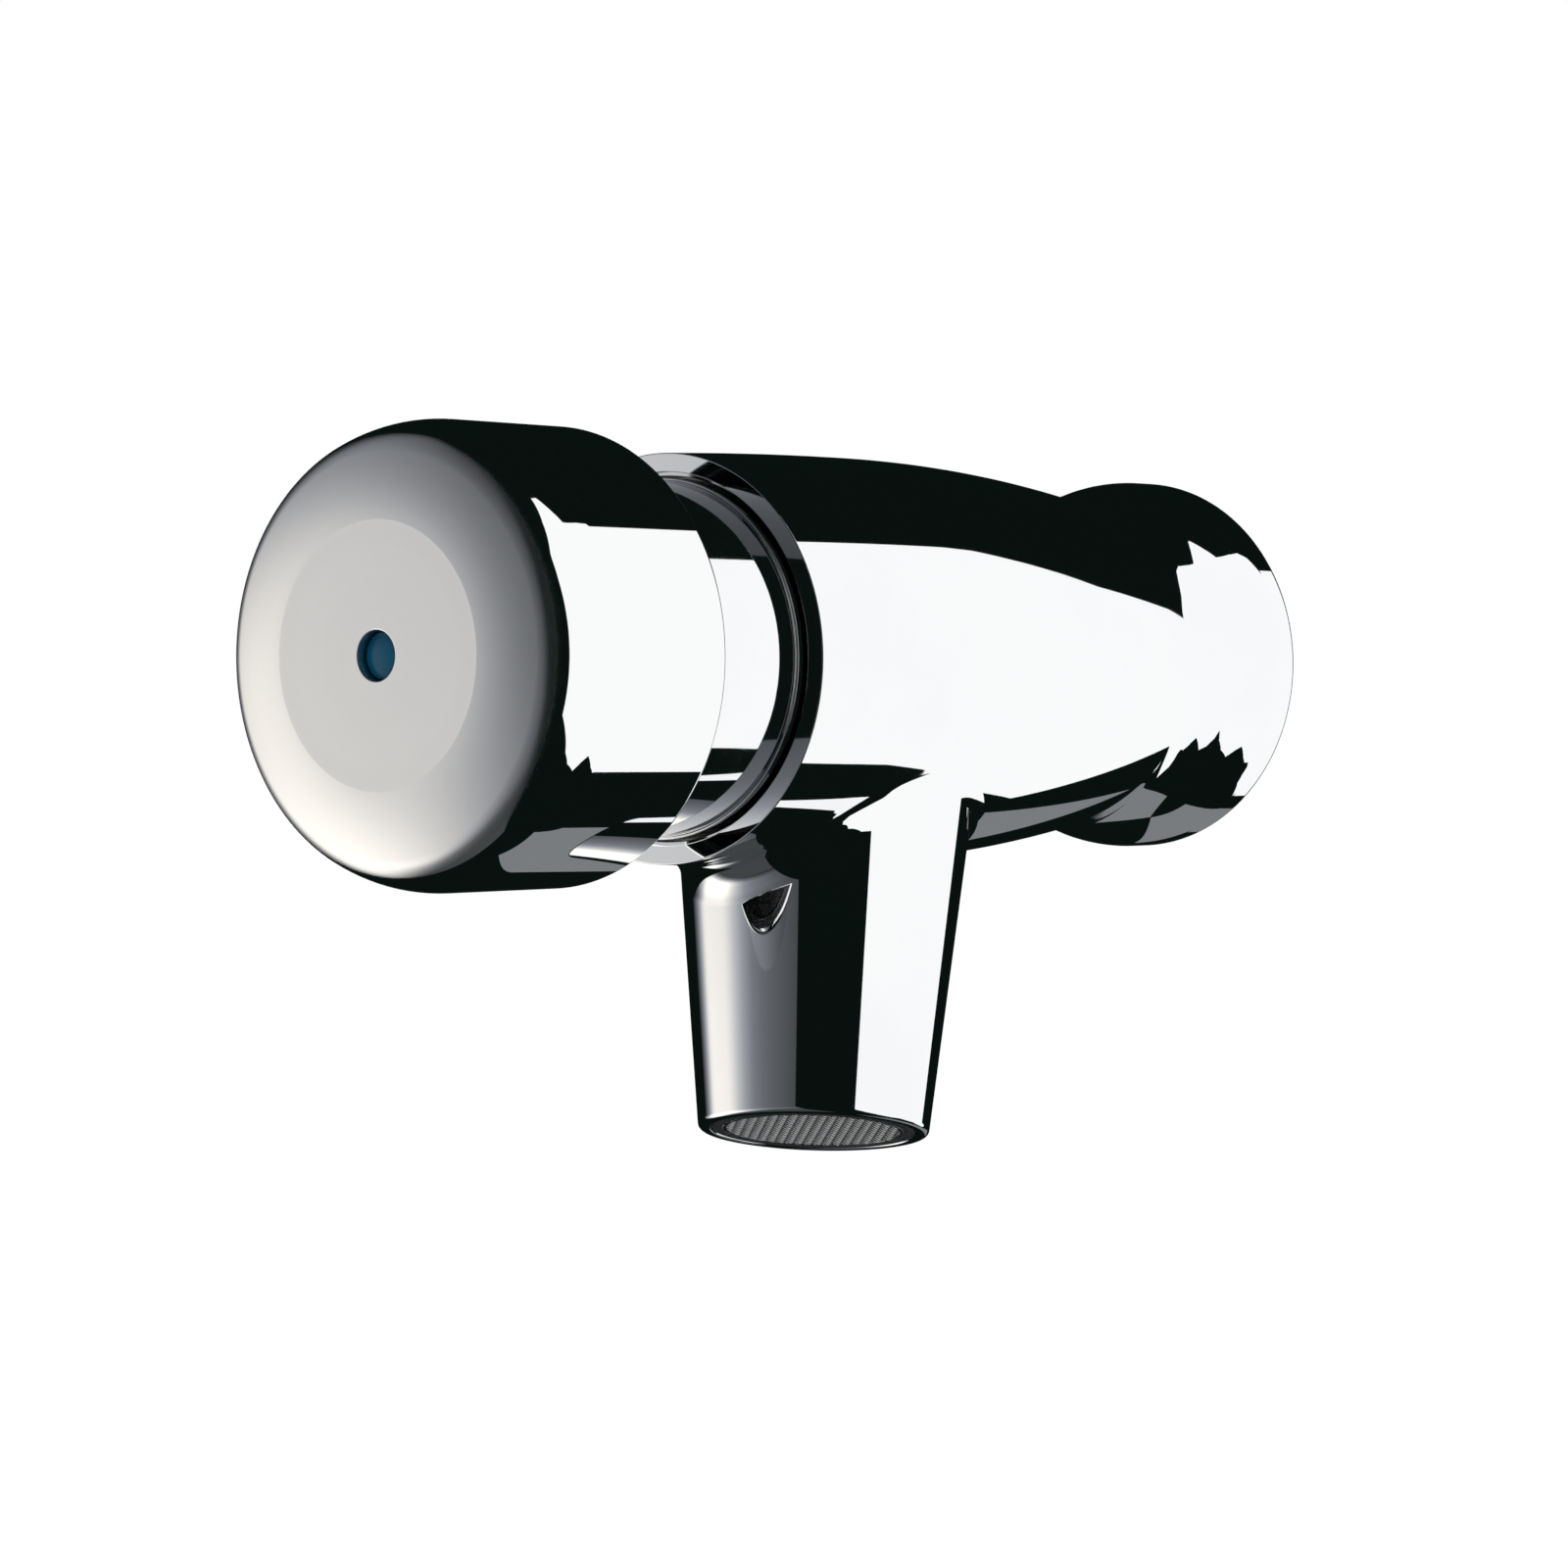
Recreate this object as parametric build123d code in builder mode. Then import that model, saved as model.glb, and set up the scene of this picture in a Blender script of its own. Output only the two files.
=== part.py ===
"""Push timed tap: a wall-mounted tap whose button starts a timed run of water.

The tap stands on its own level axis. The origin is where that axis meets the wall,
+Y points into the wall and +Z is up, so the button faces -Y and the spout hangs down.
A name that ends in "distance" is measured along the axis, from the wall to the button.
"""

import os
from math import cos, pi, radians, sin, sqrt

from build123d import *

os.makedirs("parts", exist_ok=True)

# Clearances and cuts
running_fit = 0.05  # radial, round a piece that slides or turns in its guide
seat_clearance = 0.1  # round a piece that is screwed or pressed into its seat
passing_gap = 0.5  # between faces that come close at the end of a stroke
cut_overrun = 1.0

# Driving dimensions of the outside
body_length = 86.5
button_diameter = 46.0
button_length = 25.0
button_gap = 16.3  # bare collar between the flange and the button at rest
push_stroke = 6.0
spout_inset = 27.35
spout_length = 51.0
spout_tilt_angle = 12.8

# Barrel and wall rosette of the cast body
lip_radius = 21.1
bulge_distance_share = 0.676
bulge_radius = 21.72
neck_distance = 18.0
neck_radius = 18.4
flare_distance = 11.0
flare_radius = 19.4
rim_band = 3.4
rim_radius = 21.06
rim_wall = 2.6
back_pocket_depth = 4.0
boss_wall = 2.5

# Inlet tail with its pipe thread, left plain at the thread's outer diameter
tail_radius = 10.4775
tail_length = 15.0
tail_chamfer = 1.0
tail_bore_radius = 7.25
limiter_ledge_width = 1.25

# Bores of the body, from its mouth to the wall
mouth_gap = 0.3
mouth_depth = 4.5
lip_land = 0.25
thread_radius = 16.6
thread_depth = 12.0
chamber_gap = 1.8
land_gap = 0.2
land_margin = 1.4
inlet_chamber_gap = 1.1
inlet_end_gap = 1.5

# Spout
spout_root_radius = 17.4
spout_tip_radius = 12.04
spout_blend = 4.0
outlet_edge = 0.6
spout_passage_radius = 7.0
outlet_wall = 1.34
outlet_pocket_depth = 10.0

# Cartridge head, whose flange closes the mouth and whose collar guides the button
gasket_thickness = 1.2
flange_radius = 18.5
flange_proud = 0.7
flange_edge = 0.7
collar_gap = 4.85  # between the collar and the inside of the button's skirt
head_thread_length = 12.4
head_front_gap = 2.5
head_edge = 0.5
ring_wall = 6.6
ring_length = 6.0
ring_gap = 0.5
head_wall = 2.7
tower_wall = 2.2
core_depth = 20.5
bush_wall = 2.0
bush_length = 12.0
rod_radius = 3.0
rod_relief = 0.3

# Cartridge sleeve: timing cylinder in front, valve chamber behind
sleeve_radius = 13.4
sleeve_wall = 2.4
sleeve_insert = 5.0
spring_closed_length = 12.0
partition_thickness = 2.5
valve_chamber_length = 11.5
seat_step = 0.8
seat_ring_length = 4.5
seat_bore_radius = 6.0
seat_lip_height = 0.8
seat_lip_width = 1.2
window_width = 8.0
window_length = 5.5
window_count = 4
drain_radius = 1.2
drain_count = 6
groove_width = 2.4
groove_depth = 1.5
groove_inset = 5.2

# Piston, spindle and valve
piston_length = 8.0
piston_gap = 0.3
lip_groove_length = 3.0
lip_groove_depth = 2.3
lip_edge = 0.5
pin_radius = 0.8
pin_circle_radius = 6.0
stub_radius = 2.0
stub_length = 3.8
spindle_radius = 2.2
shoulder_step = 1.4
shoulder_length = 1.5
washer_overlap = 0.8
washer_thickness = 3.3
cup_rim = 0.4
cup_thickness = 2.0
nut_wall = 1.6
nut_thickness = 2.8
spindle_tip = 1.0
spring_inset = 4.0
spring_wire_radius = 0.7
spring_turns = 6
spring_wire_sides = 8

# Button and its fixing
disc_radius = 13.05
crown_inset = 3.4
crown_drop = 1.15
shoulder_inset = 1.2
shoulder_drop = 3.05
skirt_start_drop = 8.6
crown_start_angle = 3.9
skirt_wall = 2.2
skirt_edge = 0.35
button_roof = 3.0
inner_corner_radius = 4.0
hub_wall = 3.0
hub_length = 6.0
hub_web = 1.5
hub_gap = 1.0
plug_radius = 2.4
plug_thickness = 0.8
plug_recess = 0.7
screw_head_height = 1.5
screw_radius = 1.45
screw_length = 9.0

# Inlet filter and flow limiter
filter_rim = 0.95
filter_flange_thickness = 1.2
filter_gap = 0.85
filter_wall = 0.8
filter_length = 9.0
filter_slot_width = 1.6
filter_slot_length = 5.5
filter_slot_count = 8
limiter_gap = 1.0  # between the filter's end and the limiter
limiter_thickness = 4.0
limiter_hole_radius = 1.0
limiter_circle_radius = 4.2
limiter_hole_count = 6

# Flow straightener in the outlet
straightener_wall = 1.1
straightener_recess = 0.3
straightener_seal_thickness = 1.2
core_thickness = 3.0
core_inset = 0.8
cell_apothem = 0.9
cell_web = 0.3
cell_sides = 6

# Places along the axis, chained from the body's mouth to both ends
mouth_floor_distance = body_length - mouth_depth
thread_floor_distance = mouth_floor_distance - thread_depth
flange_rear_distance = mouth_floor_distance + gasket_thickness
flange_front_distance = body_length + flange_proud
button_rear_distance = flange_front_distance + button_gap
button_face_distance = button_rear_distance + button_length
roof_distance = button_face_distance - button_roof
hub_rear_distance = roof_distance - hub_length
screw_seat_distance = roof_distance - seat_clearance
rod_front_distance = screw_seat_distance - hub_web - seat_clearance
head_front_distance = roof_distance - push_stroke - head_front_gap
ring_front_distance = roof_distance - inner_corner_radius - push_stroke - ring_gap
ring_rear_distance = ring_front_distance - ring_length
tower_front_distance = hub_rear_distance - push_stroke - hub_gap
core_floor_distance = tower_front_distance - core_depth
bush_rear_distance = tower_front_distance - head_edge - bush_length
head_rear_distance = flange_rear_distance - head_thread_length
head_floor_distance = head_rear_distance + sleeve_insert
sleeve_front_distance = head_floor_distance - seat_clearance
piston_front_distance = head_floor_distance - passing_gap
piston_rear_distance = piston_front_distance - piston_length
lip_groove_distance = piston_rear_distance + (piston_length - lip_groove_length) / 2
cylinder_floor_distance = piston_rear_distance - push_stroke - spring_closed_length
partition_distance = cylinder_floor_distance - partition_thickness
seat_floor_distance = partition_distance - valve_chamber_length
sleeve_rear_distance = seat_floor_distance - seat_ring_length
groove_rear_distance = sleeve_rear_distance + groove_inset
land_front_distance = groove_rear_distance + groove_width + land_margin
washer_front_distance = sleeve_rear_distance - seat_clearance
washer_rear_distance = washer_front_distance - washer_thickness
cup_rear_distance = washer_rear_distance - cup_thickness
nut_rear_distance = cup_rear_distance - nut_thickness
spindle_rear_distance = nut_rear_distance - spindle_tip
land_rear_distance = cup_rear_distance
inlet_chamber_floor_distance = spindle_rear_distance - push_stroke - inlet_end_gap
limiter_rear_distance = filter_length + limiter_gap - tail_length
limiter_ledge_distance = limiter_rear_distance + limiter_thickness

# Radii that follow from the pieces that fit each other
button_radius = button_diameter / 2
skirt_inner_radius = button_radius - skirt_wall
mouth_radius = flange_radius + mouth_gap
collar_radius = skirt_inner_radius - collar_gap
ring_seat_radius = skirt_inner_radius - ring_wall
dish_radius = ring_seat_radius - head_wall
bush_radius = rod_radius + bush_wall
seal_wire_radius = bush_wall / 2 - running_fit
seal_floor_distance = bush_rear_distance - 2 * seal_wire_radius - seat_clearance
tower_radius = bush_radius + tower_wall
chamber_radius = sleeve_radius + chamber_gap
land_radius = sleeve_radius + land_gap
cylinder_radius = sleeve_radius - sleeve_wall
valve_chamber_radius = cylinder_radius - seat_step
drain_circle_radius = cylinder_radius - 2 * drain_radius
spring_radius = cylinder_radius - spring_inset
washer_radius = seat_bore_radius + seat_lip_width + washer_overlap
cup_radius = washer_radius + cup_rim
inlet_chamber_radius = cup_radius + inlet_chamber_gap
hub_radius = rod_radius + hub_wall
screw_head_radius = plug_radius - seat_clearance
filter_flange_radius = tail_bore_radius + filter_rim
filter_basket_radius = tail_bore_radius - filter_gap

# Planes of the profiles, and places along the tilted spout
half_section = Plane(origin=(0, 0, 0), x_dir=(0, -1, 0), z_dir=(-1, 0, 0))
spout_direction = Vector(0, -sin(radians(spout_tilt_angle)), -cos(radians(spout_tilt_angle)))
spout_plane = Plane(origin=(0, spout_inset - body_length, 0), x_dir=(1, 0, 0), z_dir=spout_direction)
outlet_pocket_radius = spout_tip_radius - outlet_wall
straightener_radius = outlet_pocket_radius - seat_clearance
straightener_bore_radius = straightener_radius - straightener_wall
straightener_tip = spout_length - straightener_recess
straightener_root = spout_length - outlet_pocket_depth + straightener_seal_thickness


def across(distance):
    """Plane square to the tap's axis, facing the button, at a distance from the wall."""
    return Plane.XZ.offset(distance)


def finish(piece, label):
    """Names a finished piece and writes it to its own file."""
    piece.part.label = label
    export_step(piece.part, f"parts/{label}.step")


# Cast body: barrel, rosette, inlet tail and the spout blended into the barrel
with BuildPart() as tap_body:
    with BuildSketch(half_section):
        with BuildLine():
            bulge = (bulge_distance_share * body_length, bulge_radius)
            front_barrel = TangentArc(bulge, (body_length, lip_radius), tangent=(1, 0))
            rear_barrel = TangentArc(bulge, (neck_distance, neck_radius), tangent=(-1, 0))
            neck = TangentArc(
                rear_barrel @ 1, (flare_distance, flare_radius), tangent=rear_barrel % 1
            )
            rim = TangentArc(neck @ 1, (rim_band, rim_radius), tangent=neck % 1)
            Polyline(rim @ 1, (0, rim_radius), (0, 0), (body_length, 0), front_barrel @ 1)
        make_face()
    revolve(axis=Axis.Y)
    with BuildSketch(spout_plane):
        Circle(spout_root_radius)
    with BuildSketch(spout_plane.offset(spout_length)):
        Circle(spout_tip_radius)
    loft()
    junction = tap_body.edges(Select.NEW).filter_by(GeomType.BSPLINE)
    fillet(junction, radius=spout_blend)
    outlet_rim = tap_body.edges().filter_by(GeomType.CIRCLE).sort_by(Axis.Z)[0]
    fillet(outlet_rim, radius=outlet_edge)
    with BuildSketch(across(0)):
        Circle(tail_radius)
    extrude(amount=-tail_length)
    tail_end = tap_body.edges().sort_by(Axis.Y)[-1]
    chamfer(tail_end, length=tail_chamfer)
    with BuildSketch(across(0)):
        Circle(rim_radius - rim_wall)
        Circle(tail_radius + boss_wall, mode=Mode.SUBTRACT)
    extrude(amount=back_pocket_depth, mode=Mode.SUBTRACT)
    mouth_chamfer = lip_radius - lip_land - mouth_radius
    with BuildSketch(half_section):
        with BuildLine():
            Polyline(
                (mouth_floor_distance, 0),
                (mouth_floor_distance, mouth_radius),
                (body_length - mouth_chamfer, mouth_radius),
                (body_length + cut_overrun, mouth_radius + mouth_chamfer + cut_overrun),
                (body_length + cut_overrun, 0),
                close=True,
            )
        make_face()
    revolve(axis=Axis.Y, mode=Mode.SUBTRACT)
    bores = (
        (thread_radius, thread_floor_distance),
        (chamber_radius, land_front_distance),
        (land_radius, land_rear_distance),
        (inlet_chamber_radius, inlet_chamber_floor_distance),
        (tail_bore_radius - limiter_ledge_width, limiter_ledge_distance),
    )
    for bore_radius, bore_floor in bores:
        with BuildSketch(across(bore_floor)):
            Circle(bore_radius)
        extrude(amount=body_length + cut_overrun - bore_floor, mode=Mode.SUBTRACT)
    with BuildSketch(across(limiter_ledge_distance)):
        Circle(tail_bore_radius)
    extrude(amount=-limiter_ledge_distance - tail_length - cut_overrun, mode=Mode.SUBTRACT)
    with BuildSketch(across(filter_flange_thickness + seat_clearance - tail_length)):
        Circle(filter_flange_radius + seat_clearance)
    extrude(amount=-filter_flange_thickness - seat_clearance - cut_overrun, mode=Mode.SUBTRACT)
    with BuildSketch(spout_plane):
        Circle(spout_passage_radius)
    extrude(amount=spout_length + cut_overrun, mode=Mode.SUBTRACT)
    with BuildSketch(spout_plane.offset(spout_length - outlet_pocket_depth)):
        Circle(outlet_pocket_radius)
    extrude(amount=outlet_pocket_depth + cut_overrun, mode=Mode.SUBTRACT)
finish(tap_body, "tap_body")

# Flat gasket under the head's flange
with BuildPart() as head_gasket:
    with BuildSketch(across(mouth_floor_distance)):
        Circle(flange_radius - seat_clearance)
        Circle(thread_radius + seat_clearance, mode=Mode.SUBTRACT)
    extrude(amount=gasket_thickness)
finish(head_gasket, "head_gasket")

# Cartridge head: screwed plug, flange, collar and the tower that guides the rod
with BuildPart() as cartridge_head:
    with BuildSketch(half_section):
        with BuildLine():
            Polyline(
                (head_rear_distance, 0),
                (head_rear_distance, thread_radius - seat_clearance),
                (flange_rear_distance, thread_radius - seat_clearance),
                (flange_rear_distance, flange_radius),
                (flange_front_distance, flange_radius),
                (flange_front_distance, collar_radius),
                (ring_rear_distance, collar_radius),
                (ring_rear_distance, ring_seat_radius),
                (head_front_distance, ring_seat_radius),
                (head_front_distance, dish_radius),
                (core_floor_distance, dish_radius),
                (core_floor_distance, tower_radius),
                (tower_front_distance, tower_radius),
                (tower_front_distance, 0),
                close=True,
            )
        make_face()
    revolve(axis=Axis.Y)
    flange_rims = cartridge_head.edges().filter_by(GeomType.CIRCLE).group_by(SortBy.RADIUS)[-1]
    chamfer(flange_rims.sort_by(Axis.Y)[0], length=flange_edge)
    with BuildSketch(across(head_floor_distance)):
        Circle(sleeve_radius + seat_clearance)
    extrude(amount=-sleeve_insert - cut_overrun, mode=Mode.SUBTRACT)
    with BuildSketch(across(head_floor_distance)):
        Circle(rod_radius + rod_relief)
    extrude(amount=head_front_distance - head_floor_distance, mode=Mode.SUBTRACT)
    with BuildSketch(across(seal_floor_distance)):
        Circle(bush_radius + running_fit)
    extrude(amount=head_front_distance - seal_floor_distance, mode=Mode.SUBTRACT)
finish(cartridge_head, "cartridge_head")

# Plastic ring on the collar that the button's skirt slides on
with BuildPart() as skirt_guide_ring:
    with BuildSketch(across(ring_rear_distance)):
        Circle(skirt_inner_radius - running_fit)
        Circle(ring_seat_radius + running_fit, mode=Mode.SUBTRACT)
    extrude(amount=ring_length)
    chamfer(skirt_guide_ring.edges().filter_by(GeomType.CIRCLE), length=head_edge)
finish(skirt_guide_ring, "skirt_guide_ring")

# Bush and seal that the rod runs through
with BuildPart() as guide_bush:
    with BuildSketch(across(bush_rear_distance)):
        Circle(bush_radius)
        Circle(rod_radius + running_fit, mode=Mode.SUBTRACT)
    extrude(amount=bush_length)
finish(guide_bush, "guide_bush")

with BuildPart() as rod_seal:
    with BuildSketch(half_section):
        with Locations((bush_rear_distance - seal_wire_radius, (bush_radius + rod_radius) / 2)):
            Circle(seal_wire_radius)
    revolve(axis=Axis.Y)
finish(rod_seal, "rod_seal")

# Cartridge sleeve with its outlet windows, drain holes and seal groove
with BuildPart() as cartridge_sleeve:
    with BuildSketch(across(sleeve_rear_distance)):
        Circle(sleeve_radius)
    extrude(amount=sleeve_front_distance - sleeve_rear_distance)
    with BuildSketch(across(cylinder_floor_distance)):
        Circle(cylinder_radius)
    extrude(amount=sleeve_front_distance - cylinder_floor_distance, mode=Mode.SUBTRACT)
    with BuildSketch(across(partition_distance)):
        Circle(valve_chamber_radius)
    extrude(amount=sleeve_rear_distance - partition_distance, mode=Mode.SUBTRACT)
    with BuildSketch(across(seat_floor_distance)):
        Circle(cylinder_radius)
    extrude(amount=-seat_ring_length - cut_overrun, mode=Mode.SUBTRACT)
    with BuildSketch(across(partition_distance)):
        Circle(spindle_radius + running_fit)
        with PolarLocations(drain_circle_radius, drain_count):
            Circle(drain_radius)
    extrude(amount=partition_thickness, mode=Mode.SUBTRACT)
    window_distance = (partition_distance + land_front_distance) / 2
    with Locations((0, -window_distance, 0)):
        for window_turn in range(window_count // 2):
            Box(
                2 * sleeve_radius + cut_overrun,
                window_length,
                window_width,
                rotation=(0, window_turn * 360 / window_count, 0),
                mode=Mode.SUBTRACT,
            )
    with BuildSketch(across(groove_rear_distance)):
        Circle(sleeve_radius + cut_overrun)
        Circle(sleeve_radius - groove_depth, mode=Mode.SUBTRACT)
    extrude(amount=groove_width, mode=Mode.SUBTRACT)
finish(cartridge_sleeve, "cartridge_sleeve")

with BuildPart() as sleeve_o_ring:
    o_ring_inner = sleeve_radius - groove_depth + running_fit
    o_ring_wire = (land_radius - running_fit - o_ring_inner) / 2
    with BuildSketch(half_section):
        with Locations((groove_rear_distance + groove_width / 2, o_ring_inner + o_ring_wire)):
            Circle(o_ring_wire)
    revolve(axis=Axis.Y)
finish(sleeve_o_ring, "sleeve_o_ring")

# Metal seat, whose raised lip the valve washer closes on
with BuildPart() as seat_ring:
    with BuildSketch(across(sleeve_rear_distance + seat_lip_height)):
        Circle(cylinder_radius - running_fit)
    extrude(amount=seat_ring_length - seat_lip_height)
    with BuildSketch(across(sleeve_rear_distance)):
        Circle(seat_bore_radius + seat_lip_width)
    extrude(amount=seat_lip_height)
    with BuildSketch(across(sleeve_rear_distance)):
        Circle(seat_bore_radius)
    extrude(amount=seat_ring_length, mode=Mode.SUBTRACT)
finish(seat_ring, "seat_ring")

# Piston, its lip seal and the pin that times the return
with BuildPart() as piston:
    with BuildSketch(across(piston_rear_distance)):
        Circle(cylinder_radius - piston_gap)
        with Locations((pin_circle_radius, 0)):
            Circle(pin_radius + running_fit, mode=Mode.SUBTRACT)
        Circle(stub_radius + running_fit, mode=Mode.SUBTRACT)
    extrude(amount=piston_length)
    with BuildSketch(across(lip_groove_distance)):
        Circle(cylinder_radius)
        Circle(cylinder_radius - lip_groove_depth, mode=Mode.SUBTRACT)
    extrude(amount=lip_groove_length, mode=Mode.SUBTRACT)
finish(piston, "piston")

with BuildPart() as piston_lip_seal:
    lip_seal_rear = lip_groove_distance + running_fit
    lip_seal_front = lip_groove_distance + lip_groove_length - running_fit
    lip_seal_inner = cylinder_radius - lip_groove_depth + running_fit
    lip_seal_outer = cylinder_radius - running_fit
    with BuildSketch(half_section):
        with BuildLine():
            Polyline(
                (lip_seal_rear, lip_seal_inner),
                (lip_seal_rear, lip_seal_outer - lip_edge),
                (lip_seal_front - lip_edge, lip_seal_outer),
                (lip_seal_front, lip_seal_outer),
                (lip_seal_front, lip_seal_outer - lip_edge),
                (lip_seal_rear + lip_edge, (lip_seal_inner + lip_seal_outer) / 2),
                (lip_seal_front, lip_seal_inner + lip_edge),
                (lip_seal_front, lip_seal_inner),
                close=True,
            )
        make_face()
    revolve(axis=Axis.Y)
finish(piston_lip_seal, "piston_lip_seal")

with BuildPart() as timing_pin:
    with BuildSketch(across(piston_rear_distance)):
        with Locations((pin_circle_radius, 0)):
            Circle(pin_radius)
    extrude(amount=piston_length)
finish(timing_pin, "timing_pin")

# Spindle that carries the valve washer behind the seat
with BuildPart() as valve_spindle:
    with BuildSketch(across(spindle_rear_distance)):
        Circle(stub_radius)
    extrude(amount=washer_front_distance - spindle_rear_distance)
    with BuildSketch(across(washer_front_distance)):
        Circle(spindle_radius + shoulder_step)
    extrude(amount=shoulder_length)
    with BuildSketch(across(washer_front_distance)):
        Circle(spindle_radius)
    extrude(amount=piston_rear_distance - washer_front_distance)
    with BuildSketch(across(piston_rear_distance)):
        Circle(stub_radius)
    extrude(amount=stub_length)
finish(valve_spindle, "valve_spindle")

with BuildPart() as valve_washer:
    with BuildSketch(across(washer_rear_distance)):
        Circle(washer_radius)
        Circle(stub_radius + running_fit, mode=Mode.SUBTRACT)
    extrude(amount=washer_thickness)
finish(valve_washer, "valve_washer")

with BuildPart() as washer_cup:
    with BuildSketch(across(cup_rear_distance)):
        Circle(cup_radius)
        Circle(stub_radius + running_fit, mode=Mode.SUBTRACT)
    extrude(amount=cup_thickness)
    cup_rims = washer_cup.edges().filter_by(GeomType.CIRCLE).group_by(SortBy.RADIUS)[-1]
    chamfer(cup_rims.sort_by(Axis.Y)[-1], length=head_edge)
finish(washer_cup, "washer_cup")

with BuildPart() as washer_nut:
    with BuildSketch(across(nut_rear_distance)):
        RegularPolygon(stub_radius + nut_wall, 6)
        Circle(stub_radius + running_fit, mode=Mode.SUBTRACT)
    extrude(amount=nut_thickness)
finish(washer_nut, "washer_nut")

# Return spring between the sleeve's partition and the piston, wound on tangent arcs
spring_length = piston_rear_distance - cylinder_floor_distance
spring_pitch = (spring_length - 2 * spring_wire_radius) / spring_turns


def spring_point(turn):
    """Centre of the wire after so many turns from the sleeve's partition."""
    angle = 2 * pi * turn
    climb = cylinder_floor_distance + spring_wire_radius + spring_pitch * turn
    return Vector(spring_radius * cos(angle), -climb, spring_radius * sin(angle))


def spring_tangent(turn):
    """Direction of the wire after so many turns."""
    angle = 2 * pi * turn
    across_turn = 2 * pi * spring_radius
    return Vector(-across_turn * sin(angle), -spring_pitch, across_turn * cos(angle)).normalized()


def meeting_point(start, start_tangent, end, end_tangent):
    """Point where two equal tangent arcs from start to end meet."""
    chord = end - start
    square = 2 * (1 - start_tangent.dot(end_tangent))
    linear = 2 * chord.dot(start_tangent + end_tangent)
    reach = (sqrt(linear * linear + 4 * square * chord.dot(chord)) - linear) / (2 * square)
    return (start + end + (start_tangent - end_tangent) * reach) * 0.5


with BuildPart() as main_spring:
    with BuildLine() as coil:
        for half_turn in range(2 * spring_turns):
            start, end = spring_point(half_turn / 2), spring_point((half_turn + 1) / 2)
            start_tangent = spring_tangent(half_turn / 2)
            middle = meeting_point(start, start_tangent, end, spring_tangent((half_turn + 1) / 2))
            first_arc = TangentArc(start, middle, tangent=start_tangent)
            TangentArc(middle, end, tangent=first_arc % 1)
    with BuildSketch(Plane(origin=spring_point(0), z_dir=spring_tangent(0))):
        RegularPolygon(spring_wire_radius, spring_wire_sides)
    sweep(path=coil.line)
finish(main_spring, "main_spring")

# Rod from the piston to the button
with BuildPart() as pusher_rod:
    with BuildSketch(across(piston_front_distance)):
        Circle(rod_radius)
    extrude(amount=rod_front_distance - piston_front_distance)
    with BuildSketch(across(piston_front_distance)):
        Circle(stub_radius)
    extrude(amount=-stub_length)
    with BuildSketch(across(rod_front_distance)):
        Circle(screw_radius + running_fit)
    extrude(amount=-screw_length, mode=Mode.SUBTRACT)
finish(pusher_rod, "pusher_rod")

# Push button: a thin shell with a hub that turns on the end of the rod
with BuildPart() as push_button:
    with BuildSketch(half_section):
        with BuildLine():
            face = button_face_distance
            crown_start = Vector(
                -sin(radians(crown_start_angle)), cos(radians(crown_start_angle))
            )
            flat = Line((face, 0), (face, disc_radius))
            crown = TangentArc(
                flat @ 1, (face - crown_drop, button_radius - crown_inset), tangent=crown_start
            )
            shoulder = TangentArc(
                crown @ 1,
                (face - shoulder_drop, button_radius - shoulder_inset),
                tangent=crown % 1,
            )
            skirt_top = TangentArc(
                shoulder @ 1, (face - skirt_start_drop, button_radius), tangent=shoulder % 1
            )
            Polyline(
                skirt_top @ 1,
                (button_rear_distance, button_radius),
                (button_rear_distance, skirt_inner_radius),
                (roof_distance - inner_corner_radius, skirt_inner_radius),
            )
            inner_corner = RadiusArc(
                (roof_distance - inner_corner_radius, skirt_inner_radius),
                (roof_distance, skirt_inner_radius - inner_corner_radius),
                -inner_corner_radius,
            )
            Polyline(
                inner_corner @ 1,
                (roof_distance, hub_radius),
                (hub_rear_distance, hub_radius),
                (hub_rear_distance, 0),
                flat @ 0,
            )
        make_face()
    revolve(axis=Axis.Y)
    skirt_rims = push_button.edges().filter_by(GeomType.CIRCLE).group_by(Axis.Y)[-1]
    chamfer(skirt_rims, length=skirt_edge)
    with BuildSketch(across(hub_rear_distance)):
        Circle(rod_radius + running_fit)
    extrude(amount=rod_front_distance + seat_clearance - hub_rear_distance, mode=Mode.SUBTRACT)
    with BuildSketch(across(hub_rear_distance)):
        Circle(screw_radius + seat_clearance)
    extrude(amount=button_roof + hub_length, mode=Mode.SUBTRACT)
    with BuildSketch(across(screw_seat_distance)):
        Circle(plug_radius + running_fit)
    extrude(amount=button_roof + cut_overrun, mode=Mode.SUBTRACT)
finish(push_button, "push_button")

with BuildPart() as button_screw:
    with BuildSketch(across(screw_seat_distance + seat_clearance)):
        Circle(screw_head_radius)
    extrude(amount=screw_head_height)
    with BuildSketch(across(screw_seat_distance + seat_clearance)):
        Circle(screw_radius)
    extrude(amount=-screw_length)
finish(button_screw, "button_screw")

with BuildPart() as indicator_plug:
    with BuildSketch(across(button_face_distance - plug_recess - plug_thickness)):
        Circle(plug_radius)
    extrude(amount=plug_thickness)
finish(indicator_plug, "indicator_plug")

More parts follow.
